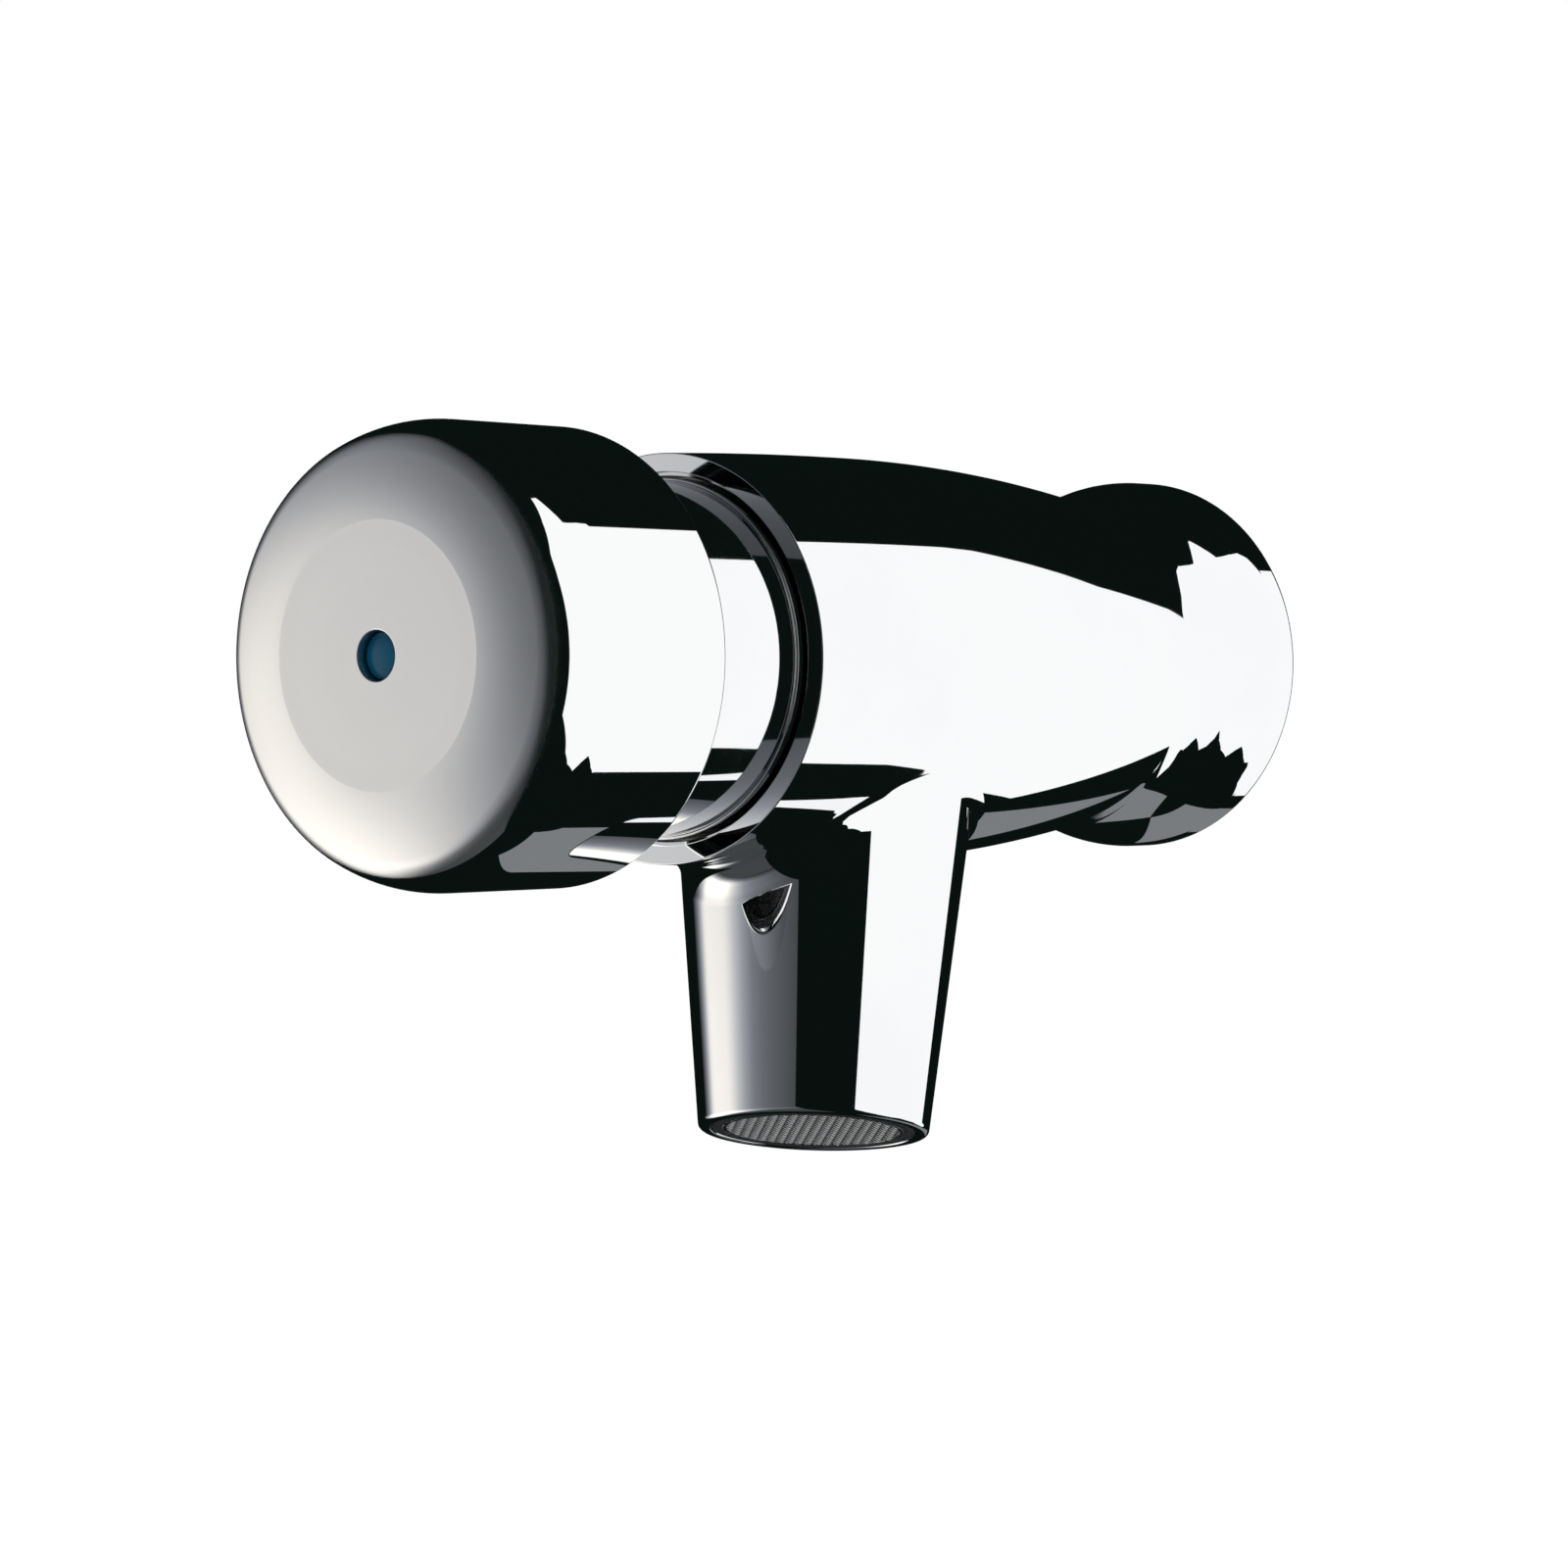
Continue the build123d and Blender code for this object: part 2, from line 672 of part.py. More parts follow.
# Strainer basket in the mouth of the tail, and the limiter on its ledge
with BuildPart() as inlet_filter:
    filter_mouth = -tail_length
    with BuildSketch(across(filter_mouth)):
        Circle(filter_flange_radius)
    extrude(amount=filter_flange_thickness)
    with BuildSketch(across(filter_mouth)):
        Circle(filter_basket_radius)
    extrude(amount=filter_length)
    with BuildSketch(across(filter_mouth)):
        Circle(filter_basket_radius - filter_wall)
    extrude(amount=filter_length - filter_wall, mode=Mode.SUBTRACT)
    slot_distance = filter_mouth + filter_flange_thickness + filter_wall + filter_slot_length / 2
    with Locations((0, -slot_distance, 0)):
        for slot_turn in range(filter_slot_count // 2):
            Box(
                2 * filter_basket_radius + cut_overrun,
                filter_slot_length,
                filter_slot_width,
                rotation=(0, slot_turn * 360 / filter_slot_count, 0),
                mode=Mode.SUBTRACT,
            )
finish(inlet_filter, "inlet_filter")

with BuildPart() as flow_limiter:
    with BuildSketch(across(limiter_rear_distance)):
        Circle(tail_bore_radius - seat_clearance)
        with PolarLocations(limiter_circle_radius, limiter_hole_count):
            Circle(limiter_hole_radius, mode=Mode.SUBTRACT)
        Circle(limiter_hole_radius, mode=Mode.SUBTRACT)
    extrude(amount=limiter_thickness)
finish(flow_limiter, "flow_limiter")

# Flow straightener: seal, screwed housing and honeycomb core
with BuildPart() as straightener_seal:
    with BuildSketch(spout_plane.offset(straightener_root - straightener_seal_thickness)):
        Circle(straightener_radius)
        Circle(spout_passage_radius + seat_clearance, mode=Mode.SUBTRACT)
    extrude(amount=straightener_seal_thickness)
finish(straightener_seal, "straightener_seal")

with BuildPart() as straightener_housing:
    with BuildSketch(spout_plane.offset(straightener_root)):
        Circle(straightener_radius)
        Circle(straightener_bore_radius, mode=Mode.SUBTRACT)
    extrude(amount=straightener_tip - straightener_root)
finish(straightener_housing, "straightener_housing")

with BuildPart() as straightener_core:
    core_radius = straightener_bore_radius - running_fit
    cell_pitch = 2 * cell_apothem + cell_web
    cell_rows = 2 * int(core_radius / cell_pitch) + 3
    with BuildSketch(spout_plane.offset(straightener_tip - core_inset - core_thickness)):
        Circle(core_radius)
        with HexLocations(cell_pitch / 2, cell_rows, cell_rows) as grid:
            inner_cells = [
                place
                for place in grid.local_locations
                if place.position.length + cell_pitch / 2 + cell_web < core_radius
            ]
        with Locations(*inner_cells):
            RegularPolygon(cell_apothem, cell_sides, major_radius=False, mode=Mode.SUBTRACT)
    extrude(amount=core_thickness)
finish(straightener_core, "straightener_core")
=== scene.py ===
"""Looks of the push timed tap, laid out as a Blender add-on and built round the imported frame.

Lengths are in metres. The tap stands on its own level axis: the origin is where that axis
meets the wall, +Y points into the wall and +Z is up, so the button faces -Y and the spout
hangs down. A "distance" is measured along the axis from the wall towards the button.
"""

from math import ceil, cos, hypot, pi, radians, sin, tan

import bpy
import numpy as np
from bpy.props import FloatProperty, FloatVectorProperty, IntProperty, PointerProperty
from bpy.types import Operator, Panel, PropertyGroup
from mathutils import Matrix, Vector


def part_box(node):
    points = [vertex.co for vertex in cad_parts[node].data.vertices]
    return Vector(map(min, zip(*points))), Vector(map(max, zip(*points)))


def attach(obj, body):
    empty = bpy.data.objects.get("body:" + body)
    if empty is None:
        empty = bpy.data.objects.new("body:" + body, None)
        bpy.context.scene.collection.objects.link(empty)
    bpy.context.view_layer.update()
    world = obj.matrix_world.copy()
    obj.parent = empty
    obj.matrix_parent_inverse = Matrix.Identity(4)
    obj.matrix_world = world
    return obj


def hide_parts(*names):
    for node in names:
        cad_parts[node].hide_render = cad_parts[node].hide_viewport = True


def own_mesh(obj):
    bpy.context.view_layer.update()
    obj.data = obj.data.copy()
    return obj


bl_info = {
    "name": "Push Timed Tap",
    "version": (1, 0, 0),
    "blender": (4, 5, 0),
    "location": "3D View > Sidebar > Push Tap",
    "description": "Builds a chrome wall tap with a timed push button, and the studio round it",
    "category": "Add Mesh",
}

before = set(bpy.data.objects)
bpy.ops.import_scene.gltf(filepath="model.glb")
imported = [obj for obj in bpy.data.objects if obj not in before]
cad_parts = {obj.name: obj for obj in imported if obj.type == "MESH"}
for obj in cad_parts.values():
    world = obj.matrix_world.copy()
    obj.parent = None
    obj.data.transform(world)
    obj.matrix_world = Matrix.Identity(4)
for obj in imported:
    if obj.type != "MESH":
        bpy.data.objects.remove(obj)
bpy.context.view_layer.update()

WELD = 1e-7  # corners nearer than this are one vertex
ARC_STEP = radians(6)  # longest step along an arc
SOLVE_STEPS = 50  # halvings that find where a rolling ball rests
FAN_ROWS, BLEND_ROWS, WATERWAY_ROWS, CONE_ROWS = 8, 13, 9, 12
BAND_ROWS = 22  # quads along a band that a branch leaves
BAND_WINDOW = 0.2125  # half the window in it, as a share of a full turn
BAND_FRONT = 0.0015  # from the body's lip to the front of the spout's band
BAND_REAR = 0.0155  # from the bulge to the rear of that band
INNER = 1  # slot of a piece's second material, for its bores and rear faces

THREAD_FLANK = radians(27.5)  # between a flank and a plane square to the tail
THREAD_SHARPNESS = 6  # a higher power leaves sharper crests and roots
THREAD_ROWS = 12  # rows of the grid on each turn
THREAD_RELIEF = 0.0012  # plain length between the wall and the thread
ROOT_GAP = 0.00007  # from the thread's root down to the plain tail
NUDGE = 1e-5  # step for the slope of the thread's surface

FILTER_SEAT_RADIUS, FILTER_SEAT_DEPTH, FILTER_BORE = 0.0083, 0.0013, 0.00725
PORT_RADIUS, PORT_REAR, PORT_FRONT = 0.006, -0.001, 0.0141  # between the tail and the valve
CUP_ROOM = 0.0011  # round the washer's cup
SLEEVE_FIT, SLEEVE_LAND = 0.0002, 0.009  # round the sleeve's foot, and along it
SLEEVE_ROOM = 0.0018  # for the water round the sleeve
PLUG_BORE, PLUG_ROOM = 0.0166, 0.0008  # for the head's screwed plug, and behind it
WATERWAY_STEP = 0.004  # plain turned length before the straightener's pocket
POCKET_EDGE, BRIGHT_PLATE = 0.001, 0.003  # up the pocket and up the spout, from the outlet

WIRE_SIDES, WIRE_SAMPLES = 6, 8  # round the gauze's wire, and along it on each pitch
WIRE_SWING = 1.05  # to each side, in radii of the wire
GAUZE_RIM, GAUZE_RIM_EDGE = 0.0004, 0.00008
GAUZE_RIM_RISE = 1.6  # above the cloth's middle, in radii of the wire

LAMP_PLACE, LAMP_AIM, LAMP_WIDTH = (0.5, -0.8, 1.3), (0, -0.06, 0), 1.0
FLOOR_RETURN = 0.9  # share of the world's light that the open floor gives back

# What the chrome reflects. A side is in degrees to the right of the camera, a rise in degrees.
CAMERA_SIDE = -18  # left edge of the black round the camera
CARD_STEP, CARD_ROWS = 3, 31  # widest column of a card in degrees, and its rows
GREY_NEARER = 0.97  # puts the grey card just in front of the flags
NEAR_FLAG_ENDS, NEAR_FLAG_HEIGHT = ((0.2612, -0.1202), (0.115, -0.346)), 0.35
SCREEN_BACK, SCREEN_FOOT, SCREEN_TOP = -133, -50, 72
SCREEN_SIDES = (-133, -126, -120, -115, -111, -90, -84, -78, -70, -60, -50, -40, -30, -18)
SCREEN_LEVELS = (0.0, 0.15, 0.45, 0.9, 1.0, 1.0, 0.85, 0.62, 0.4, 0.225, 0.16, 0.125, 0.1, 0.07)
VEIL_SIDES = (-133, -126, -100, -80, -60, -40, -18)
VEIL_LEVELS = (0.0, 0.15, 0.28, 0.22, 0.13, 0.1, 0.07)
DUSK_RISES = (SCREEN_FOOT, -36, -14, -2, 30, SCREEN_TOP)
DUSK_LEVELS = (0.3, 1.3, 1.25, 1, 0.95, 0.35)
WARM, COOL = (1.0, 0.965, 0.91), (0.92, 0.97, 1.06)
BLACK = (0.003, 0.006, 0.005)
DIM_GREY = (0.055, 0.06, 0.062)
MID_GREY = (0.2, 0.21, 0.22)

body_low, body_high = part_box("tap_body")
button_low, button_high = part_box("push_button")
head_low, head_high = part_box("cartridge_head")
sleeve_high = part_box("cartridge_sleeve")[1]
cup_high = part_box("washer_cup")[1]
plug_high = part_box("indicator_plug")[1]


def length(name, description, default):
    """Property for a length, shown in the scene's units."""
    return FloatProperty(
        name=name, description=description, default=default, precision=5, unit="LENGTH"
    )


def share(name, description, default):
    """Property for a share from 0 to 1."""
    return FloatProperty(
        name=name, description=description, default=default, min=0, max=1, subtype="FACTOR"
    )


def colour(name, description, default):
    """Property for a linear colour."""
    return FloatVectorProperty(
        name=name, description=description, default=default, size=3, min=0, max=1, subtype="COLOR"
    )


class BodySizes(PropertyGroup):
    """Sizes of the cast body"""

    body_length: length("Body length", "From the wall to the mouth", -body_low.y)
    lip_radius: length("Lip radius", "Outside of the mouth", 0.0211)
    lip_land: length("Lip land", "Flat ring at the mouth, outside its chamfer", 0.0019)
    bulge_distance: length("Bulge distance", "Where the barrel is thickest", 0.058474)
    bulge_radius: length("Bulge radius", "Barrel at its thickest", body_high.x)
    neck_distance: length("Neck distance", "Where the barrel is thinnest", 0.018)
    neck_radius: length("Neck radius", "Barrel at its thinnest", 0.0184)
    flare_distance: length("Flare distance", "Where the neck turns into the rosette", 0.011)
    flare_radius: length("Flare radius", "Rosette where it leaves the neck", 0.0194)
    rim_band: length("Rim band", "Straight band of the rosette at the wall", 0.0034)
    rim_radius: length("Rim radius", "Rosette at the wall", 0.02106)
    rim_wall: length("Rim wall", "Wall of the rosette round its back pocket", 0.0026)
    pocket_depth: length("Pocket depth", "Hollow in the back of the rosette", 0.004)
    boss_radius: length("Boss radius", "Boss that the tail grows from", 0.0129775)
    mouth_radius: length("Mouth radius", "Bore that the flange drops into", 0.0188)
    mouth_depth: length("Mouth depth", "From the lip to the mouth's floor", 0.0045)
    tail_radius: length("Tail radius", "Crest of the pipe thread", 0.0104775)
    tail_length: length("Tail length", "Inlet tail beyond the wall plane", body_high.y)
    thread_pitch: length("Thread pitch", "Fourteen turns to the inch", 0.001814)
    thread_depth: length("Thread depth", "From crest to root", 0.001162)


class SpoutSizes(PropertyGroup):
    """Sizes of the spout and its outlet"""

    distance: length("Spout distance", "Where the spout's axis leaves the tap's", 0.05915)
    length: length("Spout length", "Along the spout's own axis", 0.051)
    tilt: FloatProperty(
        name="Tilt", description="Lean towards the button", default=radians(12.8), subtype="ANGLE"
    )
    root_radius: length("Root radius", "Cone where its axis meets the tap's", 0.0174)
    tip_radius: length("Tip radius", "Cone at the outlet", 0.01204)
    blend: length("Blend", "Radius between the barrel and the spout", 0.004)
    edge: length("Outlet edge", "Rounding of the outlet's rim", 0.0006)
    passage_radius: length("Passage radius", "Waterway down the spout", 0.007)
    pocket_radius: length("Pocket radius", "Seat of the flow straightener", 0.0107)
    pocket_depth: length("Pocket depth", "Seat of the flow straightener", 0.01)
    housing_radius: length("Housing radius", "Outside of the straightener", 0.0106)
    housing_bore: length("Housing bore", "Inside of the straightener's housing", 0.0095)
    housing_recess: length("Housing recess", "How far the housing sits back", 0.0001)
    housing_length: length("Housing length", "Along the spout's axis", 0.0087)
    gauze_radius: length("Gauze radius", "Disc of wire cloth in the outlet", 0.00945)
    gauze_pitch: length("Gauze pitch", "From wire to wire", 0.0007)
    gauze_wire: length("Gauze wire", "Radius of the wire", 0.00011)


class ButtonSizes(PropertyGroup):
    """Sizes of the push button"""

    face_distance: length("Face distance", "From the wall to the button's face", -button_low.y)
    rear_distance: length("Rear distance", "From the wall to the skirt's rim", -button_high.y)
    radius: length("Radius", "Outside of the skirt", button_high.x)
    skirt_wall: length("Skirt wall", "Thickness of the skirt", 0.0022)
    disc_radius: length("Disc radius", "Flat disc in the middle of the face", 0.01305)
    crown_inset: length("Crown inset", "Edge of the crown, in from the side", 0.0034)
    crown_drop: length("Crown drop", "Edge of the crown, back from the face", 0.00115)
    shoulder_inset: length("Shoulder inset", "Edge of the shoulder, in from the side", 0.0012)
    shoulder_drop: length("Shoulder drop", "Edge of the shoulder, back from the face", 0.00305)
    skirt_drop: length("Skirt drop", "Where the straight skirt starts", 0.0086)
    crown_angle: FloatProperty(
        name="Crown angle", description="Turn of the face at the disc", default=radians(3.9),
        subtype="ANGLE",
    )
    roof: length("Roof", "Thickness of the face", 0.003)
    inner_corner: length("Inner corner", "Rounding inside the skirt", 0.004)
    hub_radius: length("Hub radius", "Hub on the rod", 0.006)
    hub_length: length("Hub length", "Hub behind the roof", 0.006)
    plug_radius: length("Plug radius", "Blue plug in the face", plug_high.x)
    plug_recess: length("Plug recess", "How far the plug sits back", 0.0007)
    plug_dome: length("Plug dome", "Height of the plug's crown", 0.00025)
    edge: length("Edge", "Rounding of the skirt's rim", 0.0007)
    satin_radius: length("Satin radius", "Where the satin face ends", 0.0214)


class HeadSizes(PropertyGroup):
    """Sizes of the cartridge head"""

    front_distance: length("Front distance", "From the wall to the head's front", -head_low.y)
    rear_distance: length("Rear distance", "From the wall to the head's rear", -head_high.y)
    flange_radius: length("Flange radius", "Flange in the body's mouth", head_high.x)
    flange_rear: length("Flange rear", "Distance of the flange's rear face", 0.0832)
    flange_front: length("Flange front", "Distance of the flange's front face", 0.0872)
    flange_edge: length("Flange edge", "Rounding of the flange", 0.00012)
    thread_radius: length("Thread radius", "Screwed plug behind the flange", 0.0165)
    collar_radius: length("Collar radius", "Bare collar in front of the flange", 0.01825)
    ring_seat_radius: length("Ring seat radius", "Seat of the guide ring", 0.0142)
    ring_rear: length("Ring rear", "Distance of the step behind the guide ring", 0.109)
    dish_radius: length("Dish radius", "Hollow in the front", 0.0115)
    tower_radius: length("Tower radius", "Tower that guides the rod", 0.0072)
    tower_front: length("Tower front", "Distance of the tower's front", 0.1125)
    core_floor: length("Core floor", "Distance of the hollow's floor", 0.092)
    bush_radius: length("Bush radius", "Bore for the rod's bush", 0.00505)
    bush_rear: length("Bush rear", "Distance of that bore's floor", 0.098)
    rod_bore: length("Rod bore", "Bore round the rod", 0.0033)
    sleeve_bore: length("Sleeve bore", "Seat of the cartridge sleeve", 0.0135)
    sleeve_floor: length("Sleeve floor", "Distance of that seat's floor", 0.0758)


class Finishes(PropertyGroup):
    """Colours and polish of the pieces"""

    chrome: colour("Chrome", "Bright chrome plate", (0.95, 0.955, 0.96))
    chrome_tint: colour("Chrome tint", "Chrome plate where it is thinner", (0.92, 0.93, 0.94))
    chrome_roughness: share("Chrome roughness", "Polish of the chrome", 0.015)
    satin: colour("Satin", "Satin chrome of the button's face", (0.99, 0.985, 0.975))
    satin_roughness: share("Satin roughness", "Polish of the button's face", 0.3)
    plated_casting: colour("Plated casting", "Chrome on unpolished casting", (0.5, 0.5, 0.49))
    # dark colour of the button's inside: painted shade for the skirt's hollow, over its dull plate
    lining: colour("Lining", "Dull plate inside the button", (0.1, 0.1, 0.103))
    blue: colour("Blue", "Cold water mark", (0.001, 0.075, 0.14))
    black_acetal: colour("Black acetal", "Guide rings and bushes", (0.02, 0.02, 0.021))
    grey_acetal: colour("Grey acetal", "Sleeve and straightener", (0.04, 0.043, 0.045))
    rubber: colour("Rubber", "Seals", (0.018, 0.018, 0.019))
    brass: colour("Brass", "Bare brass", (0.72, 0.52, 0.25))
    steel: colour("Steel", "Stainless springs, rods and gauze", (0.56, 0.57, 0.58))


class Studio(PropertyGroup):
    """Camera, floor, lamps and what the chrome reflects"""

    camera_place: FloatVectorProperty(
        name="Camera", description="Place of the camera", unit="LENGTH",
        default=(0.30996, -0.45270, -0.04890),
    )
    camera_forward: FloatVectorProperty(
        name="Forward", description="Direction that the camera looks in", subtype="DIRECTION",
        default=(-0.62674, 0.77587, 0.07232),
    )
    camera_up: FloatVectorProperty(
        name="Up", description="Upward direction of the camera", subtype="DIRECTION",
        default=(0.13022, 0.01278, 0.99140),
    )
    focal_length: FloatProperty(
        name="Focal length", description="In millimetres, on a 36 mm sensor", default=108.018
    )
    floor_height: length("Floor height", "Level of the floor below the tap's axis", -0.12)
    floor_size: length("Floor size", "Side of the floor", 12.0)
    floor_colour: colour("Floor colour", "Pale floor", (0.92, 0.92, 0.92))
    card_distance: length("Card distance", "From the tap to the cards it reflects", 2.0)
    world_light: FloatProperty(
        name="World light", description="Strength of the soft light from all round", default=0.62
    )
    lamp_power: FloatProperty(
        name="Lamp power", description="Power of the overhead lamp, in watts", default=9.0
    )
    turn_steps: IntProperty(
        name="Turn steps", description="Sides of a turned surface", default=160, min=32
    )


class Axle:
    """Axis that a surface is turned about, with the direction of its zero and quarter angles."""

    def __init__(self, origin, along, zero, quarter):
        self.origin, self.along, self.zero, self.quarter = map(
            np.array, (origin, along, zero, quarter)
        )

    def lean(self, lengthwise, outward, angle):
        """Directions with these lengthwise and outward parts, at angles round the axle."""
        lengthwise, outward, angle = np.broadcast_arrays(lengthwise, outward, angle)
        spoke = self.zero * np.cos(angle)[..., None] + self.quarter * np.sin(angle)[..., None]
        return self.along * lengthwise[..., None] + spoke * outward[..., None]

    def place(self, distance, radius, angle):
        """Points at these distances, radii and angles."""
        return self.origin + self.lean(distance, radius, angle)


TAP_AXLE = Axle((0, 0, 0), (0, -1, 0), (0, 0, -1), (1, 0, 0))


def spout_axle(spout):
    """Axle of the spout, which starts on the tap's own axis."""
    lean, drop = sin(spout.tilt), cos(spout.tilt)
    return Axle((0, -spout.distance, 0), (0, -lean, -drop), (1, 0, 0), (0, -drop, lean))


def around(count):
    """Equal angles round a full turn, with none at the end that repeats the first."""
    return np.arange(count) * 2 * pi / count


def add_object(name, data):
    """Puts a new object into the scene and returns it."""
    made = bpy.data.objects.new(name, data)
    bpy.context.scene.collection.objects.link(made)
    return made


class Outline:
    """Half section of a turned piece, as distances along its axle and radii.

    The outside lies on the right of its path, so an outer face runs towards distance zero.
    """

    def __init__(self, distance, radius):
        self.stops = [(np.array((distance, radius)), 0, None, 1)]

    def line(self, distance, radius, corner=0):
        """A straight run to a corner, which may be rounded towards the next straight run."""
        self.stops.append((np.array((distance, radius)), corner, None, 1))
        return self

    def arc(self, distance, radius, heading=None, bits=1):
        """An arc that starts along heading, or carries on smoothly from the last run."""
        bend = "on" if heading is None else np.array(heading)
        self.stops.append((np.array((distance, radius)), 0, bend, bits))
        return self

    def samples(self):
        """Points of the outline and the outward direction at each of them."""
        self.points, self.normals = [], []
        heading, trimmed = None, 0
        for i in range(1, len(self.stops)):
            start, (end, corner, bend, bits) = self.stops[i - 1][0], self.stops[i]
            if bend is None:
                run = end - start
                heading = run / hypot(*run)
                turn = 0
                if corner:
                    onward = self.stops[i + 1][0] - end
                    turn = turn_between(heading, onward)
                cut = corner * tan(abs(turn) / 2)
                self.add(start + heading * trimmed, heading)
                self.add(end - heading * cut, heading)
                if turn:
                    heading = self.bend(end - heading * cut, heading, turn, corner, 1)
                trimmed = cut
            else:
                heading = heading if isinstance(bend, str) else bend
                turn = 2 * turn_between(heading, end - start)
                reach = hypot(*(end - start)) / (2 * sin(abs(turn) / 2))
                heading = self.bend(start, heading, turn, reach, bits)
                trimmed = 0
        return np.array(self.points), np.array(self.normals)

    def add(self, point, heading):
        """Adds a sample, whose outward side lies right of its heading."""
        self.points.append(point)
        self.normals.append((heading[1], -heading[0]))

    def bend(self, start, heading, turn, radius, bits):
        """Adds the samples of an arc and returns its last heading."""
        side = 1 if turn > 0 else -1
        centre = start + radius * side * np.array((-heading[1], heading[0]))
        for angle in np.linspace(0, turn, max(bits, ceil(abs(turn) / ARC_STEP)) + 1):
            spin = np.array(((cos(angle), -sin(angle)), (sin(angle), cos(angle))))
            self.add(centre + spin @ (start - centre), spin @ heading)
        return spin @ heading


def turn_between(first, second):
    """Signed angle from one flat direction to another."""
    return np.arctan2(first[0] * second[1] - first[1] * second[0], np.dot(first, second))


class Skin:
    """Patches of surface, each with its own normals, that weld into one mesh."""

    def __init__(self):
        self.points, self.normals, self.quads, self.slots = [], [], [], []
        self.count = 0
        self.angles = around(bpy.context.scene.tap_studio.turn_steps)

    def patch(self, points, normals, closed=True, slot=0):
        """Adds a grid of points. A closed grid joins its last column to its first."""
        normals = np.broadcast_to(normals, points.shape)
        rows, columns = points.shape[:2]
        index = np.arange(rows * columns).reshape(rows, columns)
        if closed:
            index = np.hstack([index, index[:, :1]])
        quads = np.stack([index[:-1, :-1], index[1:, :-1], index[1:, 1:], index[:-1, 1:]], axis=-1)
        quads = quads.reshape(-1, 4)
        points, normals = points.reshape(-1, 3), normals.reshape(-1, 3)
        corners = points[quads]
        facing = np.cross(corners[:, 2] - corners[:, 0], corners[:, 3] - corners[:, 1])
        if (facing * normals[quads].mean(axis=1)).sum() < 0:
            quads = quads[:, ::-1]
        self.points.append(points)
        self.normals.append(normals)
        self.quads.append(quads + self.count)
        self.slots += [slot] * len(quads)
        self.count += len(points)

    def turn(self, outline, slot=0, axle=TAP_AXLE, angles=None):
        """Adds an outline turned round an axle, in equal steps unless angles are given."""
        angles = self.angles if angles is None else angles
        points, normals = outline.samples()
        self.patch(
            axle.place(points[:, :1], points[:, 1:], angles),
            axle.lean(normals[:, :1], normals[:, 1:], angles),
            slot=slot,
        )

    def piece(self, name, materials):
        """Welds the patches into a mesh object that keeps their normals."""
        points, normals, quads = map(np.vstack, (self.points, self.normals, self.quads))
        cells = np.round(points / WELD).astype(np.int64)
        first, weld = np.unique(cells, axis=0, return_index=True, return_inverse=True)[1:]
        weld = weld.ravel()
        faces, corners, slots = [], [], []
        for quad, slot in zip(quads.tolist(), self.slots):
            face = [
                i for i, before in zip(quad, [quad[-1], *quad[:-1]]) if weld[i] != weld[before]
            ]
            if len(face) > 2:
                faces.append([int(weld[i]) for i in face])
                corners += face
                slots.append(slot)
        mesh = bpy.data.meshes.new(name)
        mesh.from_pydata(points[first].tolist(), [], faces)
        if mesh.validate():
            raise RuntimeError(f"{name} has faces that repeat or fold")
        for material in materials:
            mesh.materials.append(material)
        mesh.polygons.foreach_set("material_index", slots)
        mesh.polygons.foreach_set("use_smooth", [True] * len(faces))
        mesh.normals_split_custom_set(normals[corners].tolist())
        return add_object(name, mesh)


class Barrel:
    """Outside of the body between its neck and its mouth, as two arcs that meet at the bulge."""

    def __init__(self, sizes):
        self.bulge = sizes.bulge_distance
        self.top = sizes.bulge_radius
        front_run, front_drop = sizes.body_length - self.bulge, self.top - sizes.lip_radius
        rear_run, rear_drop = self.bulge - sizes.neck_distance, self.top - sizes.neck_radius
        self.front_reach = (front_run**2 + front_drop**2) / (2 * front_drop)
        self.rear_reach = (rear_run**2 + rear_drop**2) / (2 * rear_drop)

    def reach(self, distance):
        """Radius of the arc that holds this distance."""
        return np.where(distance > self.bulge, self.front_reach, self.rear_reach)

    def section(self, distance):
        """Radius at a distance, and the lengthwise and outward parts of the normal there."""
        reach, run = self.reach(distance), distance - self.bulge
        rise = np.sqrt(reach**2 - run**2)
        return self.top - reach + rise, run / reach, rise / reach

    def gap(self, distance, radius):
        """Clearance from a point outside to the barrel, and the nearest distance along it."""
        reach, run = self.reach(distance), distance - self.bulge
        spread = np.hypot(run, radius - self.top + reach)
        return spread - reach, self.bulge + run * reach / spread


class Bore:
    """Inside of a plain bore."""

    def __init__(self, radius):
        self.radius = radius

    def section(self, distance):
        """Radius at a distance, and the lengthwise and outward parts of the normal there."""
        return np.full_like(distance, self.radius), np.zeros_like(distance), -np.ones_like(distance)

    def gap(self, distance, radius):
        """Clearance from a point outside to the bore, and the nearest distance along it."""
        return radius - self.radius, distance


class Branch:
    """Where a cone or tube leaves a wall, found by rolling a ball between them."""

    def __init__(self, wall, axle, root_radius, taper, ball, angles):
        self.angles = angles
        outward = axle.lean(sin(taper), cos(taper), angles)
        search = 3 * root_radius  # the branch leaves its wall before this length
        near, far = np.zeros_like(angles), np.full_like(angles, search)
        for _ in range(SOLVE_STEPS):
            self.run = (near + far) / 2
            contact = axle.place(self.run, root_radius - self.run * tan(taper), angles)
            self.centre = contact + outward * ball
            distance, radius = -self.centre[:, 1], np.hypot(self.centre[:, 0], self.centre[:, 2])
            clearance, self.foot = wall.gap(distance, radius)
            inside = clearance < ball
            near, far = np.where(inside, self.run, near), np.where(inside, far, self.run)
        self.contact = contact
        self.foot_angle = np.arctan2(self.centre[:, 0], -self.centre[:, 2])
        self.foot_place = TAP_AXLE.place(self.foot, wall.section(self.foot)[0], self.foot_angle)


